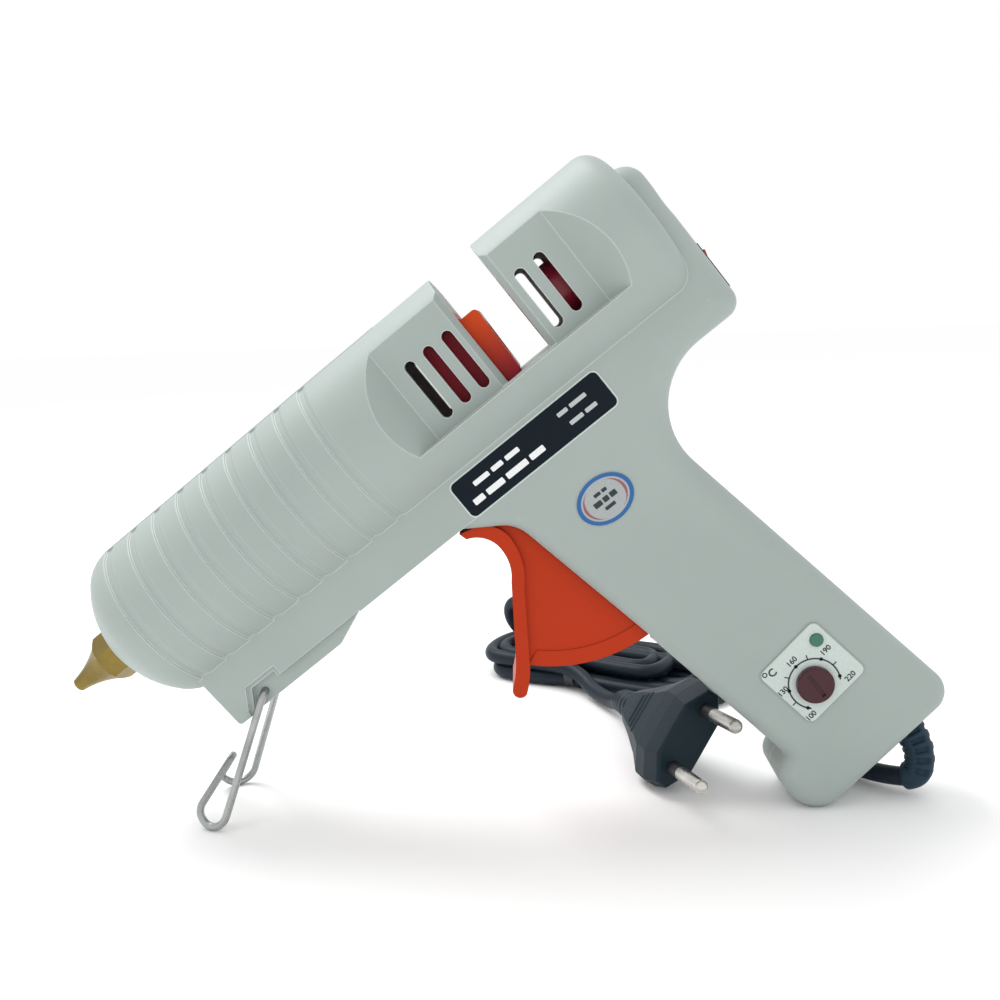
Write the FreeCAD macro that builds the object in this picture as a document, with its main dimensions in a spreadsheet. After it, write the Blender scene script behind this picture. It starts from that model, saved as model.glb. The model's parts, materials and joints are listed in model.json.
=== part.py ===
"""Hot-melt glue gun with a fold-down wire stand, temperature control and a tied mains cord.

Every piece of the gun is drawn in the gun's own axes: X runs back along the barrel from the
nozzle tip, Z is up from the barrel axis and Y is across the gun.  One placement then leans the
gun nose-down on its stand feet and the toe of its handle.  The cord pieces lie on the table and
are drawn in the standing frame.  Millimetres throughout.
"""
import FreeCAD
import Part
import math
import os

Vec = FreeCAD.Vector
doc = FreeCAD.newDocument("glue_gun")

# --------------------------------------------------------------------------------------------
# Driving dimensions
# --------------------------------------------------------------------------------------------
SIZES = {
    # barrel housing
    "barrel_radius": 23.6, "barrel_front": 17.4, "barrel_rear": 202.6, "wall": 2.3,
    "ring_first": 34.6, "ring_pitch": 8.6, "ring_width": 2.9, "ring_depth": 0.5,
    "nose_hole_radius": 9.2, "crown_width": 9.0,
    "crown_step": 0.12,
    # slab, keel and handle
    "body_width": 26.0, "body_bottom": -32.3, "keel_bottom": -36.2, "bump_width": 21.6,
    "handle_back_round": 9.0, "edge_round": 1.6,
    # vents and gap
    "panel_half": 15.2, "panel_front": 125.9, "panel_rear": 181.7, "ledge": -10.4,
    "gap_front": 148.9, "gap_rear": 163.0, "gap_floor": -10.0, "gap_lip": 1.7,
    "slot_width": 3.1, "slot_low": -7.4, "slot_high": 10.2,
    # nozzle
    "nozzle_tip_radius": 2.0, "nozzle_bore": 1.1, "hex_flats": 13.0, "hex_front": 12.0,
    "hex_length": 6.4, "thread_radius": 5.0, "thread_length": 9.0,
    # melt chamber and inlet
    "chamber_radius": 9.5, "chamber_bore": 5.9, "chamber_front": 20.6, "chamber_rear": 104.0,
    "sleeve_radius": 9.0, "sleeve_rear": 118.6,
    # feed carriage
    "carriage_front": 134.6, "carriage_rear": 154.2, "carriage_side": 20.0,
    "carriage_bore": 6.3,
    # rear guide tube for the stick
    "guide_radius": 8.0, "guide_bore": 5.9, "guide_front": 171.8, "guide_rear": 207.4,
    # trigger
    "pivot_x": 136.0, "pivot_z": -44.0, "skirt_radius": 42.6, "trigger_width": 17.6,
    "flange_width": 20.4, "trigger_wall": 1.9, "pivot_pin_radius": 2.0, "arm_length": 30.0,
    "arm_lean": 12.5, "spring_radius": 5.95, "spring_wire": 0.4, "spring_pitch": 0.85, "link_pin_radius": 1.5,
    # control area on the handle
    "plate_x": 163.1, "plate_z": -121.1, "plate_wide": 21.2, "plate_high": 20.2,
    "plate_turn": 9.0, "knob_radius": 5.0, "knob_out": 1.9, "led_radius": 1.75,
    # labels
    "label_x": 143.7, "label_z": -26.7, "label_long": 48.2, "label_high": 10.6,
    "sticker_x": 149.4, "sticker_z": -49.5, "sticker_long": 8.05, "sticker_high": 6.35,
    "label_thick": 0.25,
    # rear switch
    "switch_z": -20.4, "switch_high": 14.0, "switch_wide": 9.0, "rocker_high": 11.4,
    "rocker_wide": 6.6,
    # wire stand
    "wire_radius": 1.05, "stand_pivot_x": 44.8, "stand_pivot_z": -33.2,
    "stand_half_top": 12.9, "stand_half_foot": 17.0,
    # stance
    "lean": 37.2,
    # screws
    "boss_radius": 3.3, "screw_radius": 1.45, "screw_head_radius": 2.7,
    # mains cord
    "cord_diameter": 5.4,
}

sheet = doc.addObject("Spreadsheet::Sheet", "Sizes")
for row, (alias, value) in enumerate(SIZES.items(), start=1):
    sheet.set("A%d" % row, alias)
    sheet.set("B%d" % row, str(value))
    sheet.setAlias("B%d" % row, alias)
doc.recompute()


def size(alias):
    """A driving dimension, read back from the sheet."""
    return float(sheet.get(alias))


def bind(obj, prop, text):
    """Drive a property from the sheet; words in the text are the sheet's aliases."""
    words = []
    for word in text.replace("(", " ( ").replace(")", " ) ").split():
        words.append("Sizes." + word if word in SIZES else word)
    obj.setExpression(prop, " ".join(words))


# --------------------------------------------------------------------------------------------
# Drawing helpers
# --------------------------------------------------------------------------------------------
def rounded(corners):
    """Lines and tangent arcs of a closed outline given as (x, y, corner radius)."""
    count = len(corners)
    starts, ends, arcs = [], [], []
    for i, (px, py, radius) in enumerate(corners):
        here = Vec(px, py, 0)
        back = Vec(corners[i - 1][0], corners[i - 1][1], 0) - here
        ahead = Vec(corners[(i + 1) % count][0], corners[(i + 1) % count][1], 0) - here
        back.normalize()
        ahead.normalize()
        if radius <= 0 or abs(back.cross(ahead).z) < 1e-6:
            starts.append(here)
            ends.append(here)
            arcs.append(None)
            continue
        half = back.getAngle(ahead) / 2.0
        run = radius / math.tan(half)
        first = here + back * run
        last = here + ahead * run
        middle = back + ahead
        middle.normalize()
        centre = here + middle * (radius / math.sin(half))
        starts.append(first)
        ends.append(last)
        arcs.append((centre, centre - middle * radius))
    shapes = []
    for i in range(count):
        if arcs[i] is not None:
            shapes.append(arc_through(starts[i], arcs[i][1], ends[i], arcs[i][0]))
        following = starts[(i + 1) % count]
        if (following - ends[i]).Length > 1e-6:
            shapes.append(Part.LineSegment(ends[i], following))
    return shapes


def arc_through(first, middle, last, centre):
    """Counter-clockwise arc of circle that covers first, middle and last."""
    radius = (first - centre).Length
    begin = math.atan2(first.y - centre.y, first.x - centre.x)
    mid = math.atan2(middle.y - centre.y, middle.x - centre.x)
    end = math.atan2(last.y - centre.y, last.x - centre.x)
    turn_mid = (mid - begin) % (2 * math.pi)
    turn_end = (end - begin) % (2 * math.pi)
    if turn_mid > turn_end:
        begin, end = end, begin
    circle = Part.Circle(centre, Vec(0, 0, 1), radius)
    return Part.ArcOfCircle(circle, begin, begin + ((end - begin) % (2 * math.pi)))


def sketch_on(body, role, name, shapes):
    """A sketch of the given shapes on one of the body's own origin planes."""
    sketch = body.newObject("Sketcher::SketchObject", name)
    plane = [f for f in body.Origin.OriginFeatures if f.Role == role][0]
    sketch.AttachmentSupport = [(plane, "")]
    sketch.MapMode = "FlatFace"
    for shape in shapes:
        sketch.addGeometry(shape, False)
    return sketch


def new_body(name):
    body = doc.addObject("PartDesign::Body", name)
    body.Label = name
    return body


def side_pad(name, corners, width_cell):
    """A side-view outline padded evenly about the gun's mid-plane."""
    body = new_body(name)
    sketch = sketch_on(body, "XZ_Plane", name + "_outline", rounded(corners))
    pad = body.newObject("PartDesign::Pad", name + "_pad")
    pad.Profile = sketch
    pad.SideType = "Symmetric"
    bind(pad, "Length", width_cell)
    doc.recompute()
    return body


def box(name, x0, x1, y0, y1, z0, z1):
    solid = doc.addObject("Part::Box", name)
    solid.Length = x1 - x0
    solid.Width = y1 - y0
    solid.Height = z1 - z0
    solid.Placement = FreeCAD.Placement(Vec(x0, y0, z0), FreeCAD.Rotation())
    return solid


def cylinder(name, base, axis, radius, height):
    """A cylinder; radius and height may be numbers or sheet expressions."""
    solid = doc.addObject("Part::Cylinder", name)
    for prop, given in (("Radius", radius), ("Height", height)):
        if isinstance(given, str):
            bind(solid, prop, given)
        else:
            setattr(solid, prop, given)
    solid.Placement = FreeCAD.Placement(base, FreeCAD.Rotation(Vec(0, 0, 1), axis))
    return solid


def cut(name, base, tool):
    result = doc.addObject("Part::Cut", name)
    result.Base = base
    result.Tool = tool
    return result


def fuse(name, pieces):
    result = doc.addObject("Part::MultiFuse", name)
    result.Shapes = pieces
    return result


def common(name, first, second):
    result = doc.addObject("Part::Common", name)
    result.Base = first
    result.Tool = second
    return result


def prism(name, corners, plane, start, end):
    """A polygon of (a, b) corners pushed along the normal of its plane, start to end."""
    if plane == "XZ":
        place = [Vec(a, start, b) for a, b in corners]
        push = Vec(0, end - start, 0)
    elif plane == "XY":
        place = [Vec(a, b, start) for a, b in corners]
        push = Vec(0, 0, end - start)
    else:
        place = [Vec(start, a, b) for a, b in corners]
        push = Vec(end - start, 0, 0)
    wire = doc.addObject("Part::Feature", name + "_wire")
    wire.Shape = Part.makePolygon(place + [place[0]])
    solid = doc.addObject("Part::Extrusion", name)
    solid.Base = wire
    solid.DirMode = "Custom"
    solid.Dir = push
    solid.LengthFwd = push.Length
    solid.Solid = True
    return solid


PIECES = []


def piece(name, result, leaning=True):
    """Register a finished piece under its node name."""
    result.Label = name
    PIECES.append((name, result, leaning))
    return result


def arc_by_points(first, middle, last):
    """Arc of circle through three (x, y) points."""
    ax, ay = first
    bx, by = middle
    cx, cy = last
    d = 2.0 * (ax * (by - cy) + bx * (cy - ay) + cx * (ay - by))
    aa, bb, cc = ax * ax + ay * ay, bx * bx + by * by, cx * cx + cy * cy
    ux = (aa * (by - cy) + bb * (cy - ay) + cc * (ay - by)) / d
    uy = (aa * (cx - bx) + bb * (ax - cx) + cc * (bx - ax)) / d
    return arc_through(Vec(ax, ay, 0), Vec(bx, by, 0), Vec(cx, cy, 0), Vec(ux, uy, 0))


def line(first, last):
    return Part.LineSegment(Vec(first[0], first[1], 0), Vec(last[0], last[1], 0))


def turned(name, shapes):
    """A closed half profile of lines and arcs turned about the barrel axis."""
    body = new_body(name)
    sketch = sketch_on(body, "XZ_Plane", name + "_profile", shapes)
    turn = body.newObject("PartDesign::Revolution", name + "_turn")
    turn.Profile = sketch
    turn.ReferenceAxis = (sketch, ["H_Axis"])
    turn.Angle = 360
    doc.recompute()
    return body


# --------------------------------------------------------------------------------------------
# Housing: barrel, slab with keel and handle, vents, gap; split into two halves
# --------------------------------------------------------------------------------------------
BR = size("barrel_radius")
REAR = size("barrel_rear")
RD = size("ring_depth")

nose = [(17.4, 0.0), (18.4, 7.6), (20.8, 12.7), (23.8, 17.6), (27.3, 21.4), (29.8, 22.9), (33.0, BR)]
profile = [arc_by_points(nose[0], nose[1], nose[2]),
           arc_by_points(nose[2], nose[3], nose[4]),
           arc_by_points(nose[4], nose[5], nose[6])]
at = (33.0, BR)
for ring in range(9):
    x = size("ring_first") + ring * size("ring_pitch")
    w = size("ring_width")
    for nxt in ((x, BR), (x + 0.3, BR - RD), (x + 0.6 * w, BR - RD), (x + w, BR)):
        profile.append(line(at, nxt))
        at = nxt
rear_start = (REAR - 5.6, BR)
rear_round = arc_by_points(rear_start, (REAR - 1.7, BR - 1.7), (REAR, BR - 5.6))
closing = [rear_round, line((REAR, BR - 5.6), (REAR, 0)), line((REAR, 0), nose[0])]
profile += [line(at, rear_start)] + closing
barrel = turned("barrel_ringed", profile)
crown_box = box("crown_box", 30, 130, -size("crown_width") / 2, size("crown_width") / 2, 0, 30)
crown_bar = cylinder("crown_bar", Vec(33.5, 0, 0), Vec(1, 0, 0), "barrel_radius + crown_step", 96.0)
crown = common("crown", crown_bar, crown_box)

SLAB = [(33.1, -15, 0), (33.9, -36.2, 1.2), (69.6, -36.2, 3), (78.8, -32.3, 3),
        (113.6, -32.3, 0), (126.3, -40.7, 9), (134.8, -85.1, 0), (143.7, -136.6, 1.5),
        (137.6, -139.8, 5), (137.7, -157.2, 9), (190.3, -151.0, 6.5), (169.5, -33.3, 20.5),
        (208.5, -33.3, 4.5), (208.4, 14.6, 6), (190, 14.6, 0)]
slab = side_pad("slab_block", SLAB, "body_width")


def edges_where(shape, test):
    """Indices, from 1, of the edges whose midpoint passes the test."""
    found = []
    for index, edge in enumerate(shape.Edges, start=1):
        mid = edge.valueAt((edge.FirstParameter + edge.LastParameter) / 2.0)
        if test(edge, mid):
            found.append(index)
    return found


def on_side(edge, mid):
    """Edges of the outline itself, on either flat side of the slab."""
    ends = [v.Point.y for v in edge.Vertexes]
    return max(abs(y - ends[0]) for y in ends) < 1e-6 and abs(mid.y) > 12.9


def back_edge(edge, mid):
    return on_side(edge, mid) and (mid.x > 165 and mid.z > -147 and mid.z < 9)


def foot_edge(edge, mid):
    return on_side(edge, mid) and mid.z <= -136.5


rounded_slab = doc.addObject("Part::Fillet", "slab_rounded")
rounded_slab.Base = slab
radii = [(i, 7.5, 7.5) for i in edges_where(slab.Shape, back_edge)]
radii += [(i, 4.5, 4.5) for i in edges_where(slab.Shape, foot_edge)]
rounded_slab.Edges = radii
doc.recompute()

# Outside of the housing before it is hollowed.
outside = fuse("outside", [barrel, crown, rounded_slab])
PH = size("panel_half")
tools = []
for sign, side in ((-1, "near"), (1, "far")):
    ramp = [(size("panel_front"), sign * PH), (size("panel_rear"), sign * PH),
            (size("panel_rear") + 11, sign * (PH + 11)), (size("panel_front") - 11, sign * (PH + 11))]
    tools.append(prism("vent_recess_" + side, ramp, "XY", size("ledge"), 32))
    lip = size("gap_lip")
    mouth = [(size("gap_front"), sign * (PH - lip)), (size("gap_rear"), sign * (PH - lip)),
             (size("gap_rear") + lip, sign * (PH + 0.01)), (size("gap_rear") + lip, sign * 26),
             (size("gap_front") - lip, sign * 26), (size("gap_front") - lip, sign * (PH + 0.01))]
    tools.append(prism("gap_lip_" + side, mouth, "XY", size("gap_floor"), 32))
    half = size("bump_width") / 2
    pocket = [(39.6, -37.5), (39.6, -35.4), (42.9, -30.2), (50.7, -30.2), (50.7, -31.9),
              (80.0, -31.9), (80.0, -37.5)]
    tools.append(prism("stand_pocket_" + side, pocket, "XZ", sign * half, sign * 15))
    rim = [(38.0, -37.5), (38.0, -35.0), (42.0, -29.0), (51.9, -29.0), (51.9, -31.9),
           (80.0, -31.9), (80.0, -37.5)]
    tools.append(prism("pocket_rim_" + side, rim, "XZ", sign * 12.2, sign * 15))
tools.append(box("gap_block", size("gap_front"), size("gap_rear"), -30, 30, size("gap_floor"), 32))
SW = size("slot_width")
for index, (slot_x, low, high) in enumerate(((132.0, -7.4, 10.2), (138.1, -7.4, 10.2),
                                             (144.2, -7.4, 10.2), (168.3, -7.3, 10.5),
                                             (174.5, -7.2, 10.6))):
    slot = [(slot_x - SW / 2, low, SW / 2 - 0.01), (slot_x + SW / 2, low, SW / 2 - 0.01),
            (slot_x + SW / 2, high, SW / 2 - 0.01), (slot_x - SW / 2, high, SW / 2 - 0.01)]
    tools.append(side_pad("vent_slot_%d" % index, slot, "barrel_radius * 2"))

# Hollow: barrel bore, keel and handle, with the walls of the gap left standing.
BI = BR - size("wall")
bore_shapes = [line((24.6, 0), (24.6, 11.0)), line((24.6, 11.0), (31.0, BI)),
               line((31.0, BI), (REAR - 2.6, BI)), line((REAR - 2.6, BI), (REAR - 2.6, 0)),
               line((REAR - 2.6, 0), (24.6, 0))]
bore = turned("barrel_hollow", bore_shapes)
guards = [box("guard_near", 113.6, 194.0, -30, -PH + size("wall"), -12.7, 32),
          box("guard_far", 113.6, 194.0, PH - size("wall"), 30, -12.7, 32),
          box("gap_walls", 146.4, 165.6, -30, 30, -12.3, 32)]
bore_left = cut("bore_less_walls", bore, fuse("bore_guards", guards))
HOLLOW = [(35.4, -15, 0), (36.2, -33.9, 0), (69.0, -33.9, 0), (77.8, -30.0, 0),
          (111.4, -30.0, 0), (111.4, -36, 0), (124, -60, 0), (130.5, -87.6, 0),
          (137.6, -87.6, 0), (146.1, -137.5, 1), (142.5, -141.5, 3), (140.2, -154.6, 6.5),
          (187.4, -148.9, 4), (166.8, -31.0, 22.8), (206.1, -31.0, 2), (206.1, 12.2, 3),
          (190, 12.2, 0)]
NARROW = size("body_width") / 2 - size("wall")
inner_deep = new_body("hollow_deep")
deep_sketch = sketch_on(inner_deep, "XZ_Plane", "hollow_deep_outline", rounded(HOLLOW))
deep_pad = inner_deep.newObject("PartDesign::Pad", "hollow_deep_pad")
deep_pad.Profile = deep_sketch
deep_pad.SideType = "Symmetric"
deep_pad.Length = 17.0
WIDE = [(35.4, -15, 0), (36.2, -31.0, 0), (40.2, -27.8, 0), (53.5, -27.8, 0), (55.0, -29.4, 0),
        (111.4, -29.4, 0), (111.4, -36, 0), (124, -60, 0), (130.5, -87.6, 0),
        (137.6, -87.6, 0), (146.1, -137.5, 1), (143.5, -141.5, 1), (143.5, -150.6, 3),
        (181.0, -146.2, 3), (162.6, -28.0, 10), (201.0, -28.0, 3), (201.0, 6, 0), (190, 6, 0)]
inner_wide = new_body("hollow_wide")
wide_sketch = sketch_on(inner_wide, "XZ_Plane", "hollow_wide_outline", rounded(WIDE))
wide_pad = inner_wide.newObject("PartDesign::Pad", "hollow_wide_pad")
wide_pad.Profile = wide_sketch
wide_pad.SideType = "Symmetric"
bind(wide_pad, "Length", "body_width - 2 * wall")
doc.recompute()
slab_walls = box("slab_walls", 146.4, 165.6, -30, 30, -12.3, 32)
slab_hollow = cut("slab_hollow", fuse("slab_hollows", [inner_deep, inner_wide]), slab_walls)
carriage_way = box("carriage_way", 146.0, 149.4, -10.4, 10.4, -10.4, 10.4)
stick_way = cylinder("stick_way", Vec(162.6, 0, 0), Vec(1, 0, 0), 9.2, 3.6)
nozzle_way = cylinder("nozzle_way", Vec(10, 0, 0), Vec(1, 0, 0), "nose_hole_radius", 16.0)
guide_way = cylinder("guide_way", Vec(198, 0, 0), Vec(1, 0, 0), 8.4, 12.0)
switch_way = box("switch_way", 204.0, 210.0, -size("switch_wide") / 2 - 0.1,
                 size("switch_wide") / 2 + 0.1, size("switch_z") - size("switch_high") / 2 - 0.1,
                 size("switch_z") + size("switch_high") / 2 + 0.1)
# The handle's base line leans; the cord leaves square to it.
BASE_TILT = math.atan2(-151.0 + 157.2, 190.3 - 137.7)
CORD_EXIT = Vec(174.6, 0, -157.2 + (174.6 - 137.7) * math.tan(BASE_TILT))
CORD_OUT = Vec(math.sin(BASE_TILT), 0, -math.cos(BASE_TILT))
gland_way = cylinder("gland_way", CORD_EXIT - CORD_OUT * 8, CORD_OUT, 4.95, 12.0)
PX, PZ = size("plate_x"), size("plate_z")
TURN = math.radians(size("plate_turn"))


def on_plate(a, b):
    """Point of the side plate: a along its width, b up its height, from its middle."""
    return (PX + a * math.cos(TURN) - b * math.sin(TURN), PZ + a * math.sin(TURN) + b * math.cos(TURN))


KNOB = on_plate(-1.75, -2.5)
LED = on_plate(7.2, 5.6)
knob_way = cylinder("knob_way", Vec(KNOB[0], -20, KNOB[1]), Vec(0, 1, 0), 3.3, 12.0)
led_way = cylinder("led_way", Vec(LED[0], -20, LED[1]), Vec(0, 1, 0), 1.45, 12.0)
axle_way = cylinder("axle_way", Vec(size("stand_pivot_x"), -12, size("stand_pivot_z")),
                    Vec(0, 1, 0), "wire_radius + 0.07", 24.0)
hollow = fuse("hollow", tools + [bore_left, slab_hollow, carriage_way, stick_way, nozzle_way,
                                 guide_way, switch_way, gland_way, knob_way, led_way])
shell_thin = cut("shell_thin", outside, hollow)

# Screw bosses stand across the hollow and meet at the mid-plane.
SCREWS = [(56, -26.0), (104.6, -25.6), (194.0, -24.5), (164.0, -62.0), (147.6, -103.0), (151.5, -147.6)]
bosses = []
for index, (sx, sz) in enumerate(SCREWS):
    bosses.append(cylinder("boss_%d" % index, Vec(sx, -11.2, sz), Vec(0, 1, 0), "boss_radius", 22.4))
axle_block = box("axle_block", 40.6, 49.0, -9.5, 9.5, -35.4, -29.0)
rib = []
for index, rib_x in enumerate((40.0, 97.0)):
    disc = cylinder("rib_disc_%d" % index, Vec(rib_x, 0, 0), Vec(1, 0, 0), BI + 0.5, 2.0)
    hole = cylinder("rib_hole_%d" % index, Vec(rib_x - 1, 0, 0), Vec(1, 0, 0), 13.2, 4.0)
    rib.append(cut("rib_%d" % index, disc, hole))
pivot_boss = cylinder("pivot_boss", Vec(size("pivot_x"), -12.0, size("pivot_z")), Vec(0, 1, 0), 4.2, 24.0)
pivot_gap = box("pivot_gap", 128, 144, -9.3, 9.3, -52, -36)
pivot_bosses = cut("pivot_bosses", pivot_boss, pivot_gap)
shell_whole = fuse("shell_whole", [shell_thin, axle_block, pivot_bosses] + bosses + rib)
drill = [axle_way, cylinder("pin_seat", Vec(size("pivot_x"), -11.8, size("pivot_z")), Vec(0, 1, 0),
                            "pivot_pin_radius + 0.02", 23.6)]
for index, (sx, sz) in enumerate(SCREWS):
    drill.append(cylinder("pilot_%d" % index, Vec(sx, -9, sz), Vec(0, 1, 0), "screw_radius - 0.25", 9.1))
    drill.append(cylinder("clear_%d" % index, Vec(sx, 0, sz), Vec(0, 1, 0), "screw_radius + 0.15", 30))
    drill.append(cylinder("head_seat_%d" % index, Vec(sx, 10.2, sz), Vec(0, 1, 0),
                          "screw_head_radius + 0.3", 20))
shell = cut("shell_both", shell_whole, fuse("drillings", drill))
near_half = box("near_half", 0, 220, -30, -0.04, -170, 40)
far_half = box("far_half", 0, 220, 0.04, 30, -170, 40)
right_shell = piece("right_shell", common("right_shell", shell, near_half))
left_shell = piece("left_shell", common("left_shell", shell, far_half))
doc.recompute()

# --------------------------------------------------------------------------------------------
# Nozzle, melt chamber and the stick's way in
# --------------------------------------------------------------------------------------------
TR = size("nozzle_tip_radius")
HF = size("hex_front")
HL = size("hex_length")
hex_half = size("hex_flats") / 2
cone_shapes = [line((0, size("nozzle_bore")), (0, TR - 0.3)), line((0, TR - 0.3), (0.3, TR)),
               arc_by_points((0.3, TR), (6.4, 3.55), (HF, hex_half - 0.1)),
               line((HF, hex_half - 0.1), (HF + 0.4, hex_half - 0.1)),
               line((HF + 0.4, hex_half - 0.1), (HF + 0.4, size("nozzle_bore"))),
               line((HF + 0.4, size("nozzle_bore")), (0, size("nozzle_bore")))]
cone = turned("nozzle_cone", cone_shapes)
hex_block = doc.addObject("Part::Prism", "nozzle_hex")
hex_block.Polygon = 6
bind(hex_block, "Circumradius", "hex_flats * 0.57735")
bind(hex_block, "Height", "hex_length")
hex_block.Placement = FreeCAD.Placement(
    Vec(HF, 0, 0), FreeCAD.Rotation(Vec(1, 0, 0), 8).multiply(FreeCAD.Rotation(Vec(0, 1, 0), 90)))
hex_trim = turned("nozzle_hex_trim", [
    line((HF, 0), (HF, hex_half - 0.1)), line((HF, hex_half - 0.1), (HF + 0.9, hex_half * 1.16)),
    line((HF + 0.9, hex_half * 1.16), (HF + HL, hex_half * 1.16)),
    line((HF + HL, hex_half * 1.16), (HF + HL, 0)),
    line((HF + HL, 0), (HF, 0))])
hex_body = common("nozzle_hex_body", hex_block, hex_trim)
collar = cylinder("nozzle_collar", Vec(HF + HL, 0, 0), Vec(1, 0, 0), 5.9, 2.0)
thread = cylinder("nozzle_thread", Vec(HF + HL, 0, 0), Vec(1, 0, 0), "thread_radius", "thread_length")
nozzle_solid = fuse("nozzle_solid", [cone, hex_body, collar, thread])
nozzle_hole = cylinder("nozzle_hole", Vec(-1, 0, 0), Vec(1, 0, 0), "nozzle_bore", 40)
nozzle_throat = cylinder("nozzle_throat", Vec(13.0, 0, 0), Vec(1, 0, 0), 2.6, 30)
nozzle = piece("nozzle", cut("nozzle", nozzle_solid, fuse("nozzle_bores", [nozzle_hole, nozzle_throat])))


def ring(name, x0, x1, outer, inner):
    return cut(name, cylinder(name + "_disc", Vec(x0, 0, 0), Vec(1, 0, 0), outer, x1 - x0),
               cylinder(name + "_eye", Vec(x0 - 1, 0, 0), Vec(1, 0, 0), inner, x1 - x0 + 2))


nozzle_seal = piece("nozzle_seal", ring("nozzle_seal", 20.6, 23.0, 9.15, 8.05))
chamber_front = size("chamber_front")
chamber_tube = cylinder("chamber_tube", Vec(chamber_front, 0, 0), Vec(1, 0, 0), 8.0, 9.0)
chamber_main = cylinder("chamber_main", Vec(29.0, 0, 0), Vec(1, 0, 0), "chamber_radius",
                        "chamber_rear - 29")
pocket_block = box("heater_block", 46, 88, -8.5, 8.5, 4, 15.6)
pocket_hole = box("heater_slot", 45, 89, -6.6, 6.6, 10.2, 14.0)
fins = [box("chamber_fin_%d" % k, 34, 100, -0.9 + off, 0.9 + off, -12.2, -6)
        for k, off in enumerate((-4.0, 4.0))]
chamber_solid = fuse("chamber_solid", [chamber_tube, chamber_main, pocket_block] + fins)
chamber_bores = fuse("chamber_bores", [
    pocket_hole,
    cylinder("chamber_front_thread", Vec(chamber_front - 1, 0, 0), Vec(1, 0, 0), "thread_radius", 10.2),
    cylinder("chamber_melt_way", Vec(28, 0, 0), Vec(1, 0, 0), 3.0, 12.0),
    cylinder("chamber_stick_way", Vec(38, 0, 0), Vec(1, 0, 0), "chamber_bore", 80.0)])
melt_chamber = piece("melt_chamber", cut("melt_chamber", chamber_solid, chamber_bores))
heater = piece("heater_element", box("heater_element", 49, 85, -6.4, 6.4, 10.4, 13.8))
mounts = [ring("chamber_mount_front", 40.1, 41.9, 13.1, 9.6),
          ring("chamber_mount_rear", 97.1, 98.9, 13.1, 9.6)]
for name, mount in zip(("chamber_mount_front", "chamber_mount_rear"), mounts):
    notch = box(name + "_notch", 30, 110, -5.5, 5.5, -14, -5)
    piece(name, cut(name + "_ring", mount, notch))
sleeve_body = ring("sleeve_wall", size("chamber_rear"), size("sleeve_rear"), "sleeve_radius", 6.3)
sleeve_cup = ring("sleeve_cup", 100.4, 104.6, 11.0, 9.55)
sleeve_web = ring("sleeve_web", 104.0, 105.6, 11.0, 6.3)
inlet_sleeve = piece("inlet_sleeve", fuse("inlet_sleeve", [sleeve_body, sleeve_cup, sleeve_web]))
sleeve_clip = piece("sleeve_clip", ring("sleeve_clip", 101.4, 103.4, 11.9, 11.05))

# Rear guide tube, held in the housing's rear wall and by a flange inside it.
guide = ring("guide_tube", size("guide_front"), size("guide_rear"), "guide_radius", "guide_bore")
guide_flange = ring("guide_flange", 196.6, 199.6, 13.0, 7.9)
guide_tube = piece("rear_guide_tube", fuse("rear_guide", [guide, guide_flange]))

# --------------------------------------------------------------------------------------------
# Feed: carriage driven by the trigger's arm through a pin in an upright slot
# --------------------------------------------------------------------------------------------
PVX, PVZ = size("pivot_x"), size("pivot_z")
ARM = size("arm_length")
LEANA = math.radians(size("arm_lean"))
LINK = (PVX + ARM * math.sin(LEANA), PVZ + ARM * math.cos(LEANA))
CF, CR, CS = size("carriage_front"), size("carriage_rear"), size("carriage_side")
side_corners = [(CF, -CS / 2, 1.2), (CR - 0.6, -CS / 2, 1.2), (CR, CS / 2, 1.2), (CF, CS / 2, 1.2)]
carriage_block = side_pad("carriage_block", side_corners, "carriage_side")
lug = box("carriage_lug", LINK[0] - 3.1, LINK[0] + 3.1, -3.4, 3.4, -18.4, -CS / 2 + 0.5)
slot_open = box("carriage_slot", LINK[0] - 1.6, LINK[0] + 1.6, -5, 5, -17.0, -12.0)
stick_hole = cylinder("carriage_hole", Vec(CF - 2, 0, 0), Vec(1, 0, 0), "carriage_bore", 30)
grip_slot = box("grip_slot", CF + 4.0, CF + 8.0, -4.2, 4.2, 3.0, 20)
carriage = piece("feed_carriage", cut("feed_carriage", fuse("carriage_solid", [carriage_block, lug]),
                                      fuse("carriage_cuts", [slot_open, stick_hole, grip_slot])))
grip_plate = box("grip_plate", CF + 5.4, CF + 6.6, -4.0, 4.0, 5.9, 11.6)
stick_grip = piece("stick_grip", grip_plate)

TW = size("trigger_wall")
def polar(radius, degrees):
    return (PVX + radius * math.cos(math.radians(degrees)), PVZ + radius * math.sin(math.radians(degrees)))


SKIRT = size("skirt_radius")
SKIRT_ENDS = (222.6, 248.0, 277.0)
RIM_HIGH = 4.4
skirt = [polar(SKIRT, degrees) for degrees in SKIRT_ENDS]
web_shapes = [
    line((115.6, -34.6), (116.2, -36.0)),
    arc_by_points((116.2, -36.0), (120.4, -39.4), (121.3, -44.0)),
    arc_by_points((121.3, -44.0), (120.2, -49.2), (117.2, -53.8)),
    line((117.2, -53.8), skirt[0]),
    arc_by_points(*skirt),
    line(skirt[2], (142.6, -50.0)),
    line((142.6, -50.0), (142.6, -39.5)),
    line((142.6, -39.5), (139.0, -36.2)),
    line((139.0, -36.2), (125.4, -34.0)),
    line((125.4, -34.0), (118.0, -33.4)),
    line((118.0, -33.4), (115.6, -34.6))]


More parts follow.
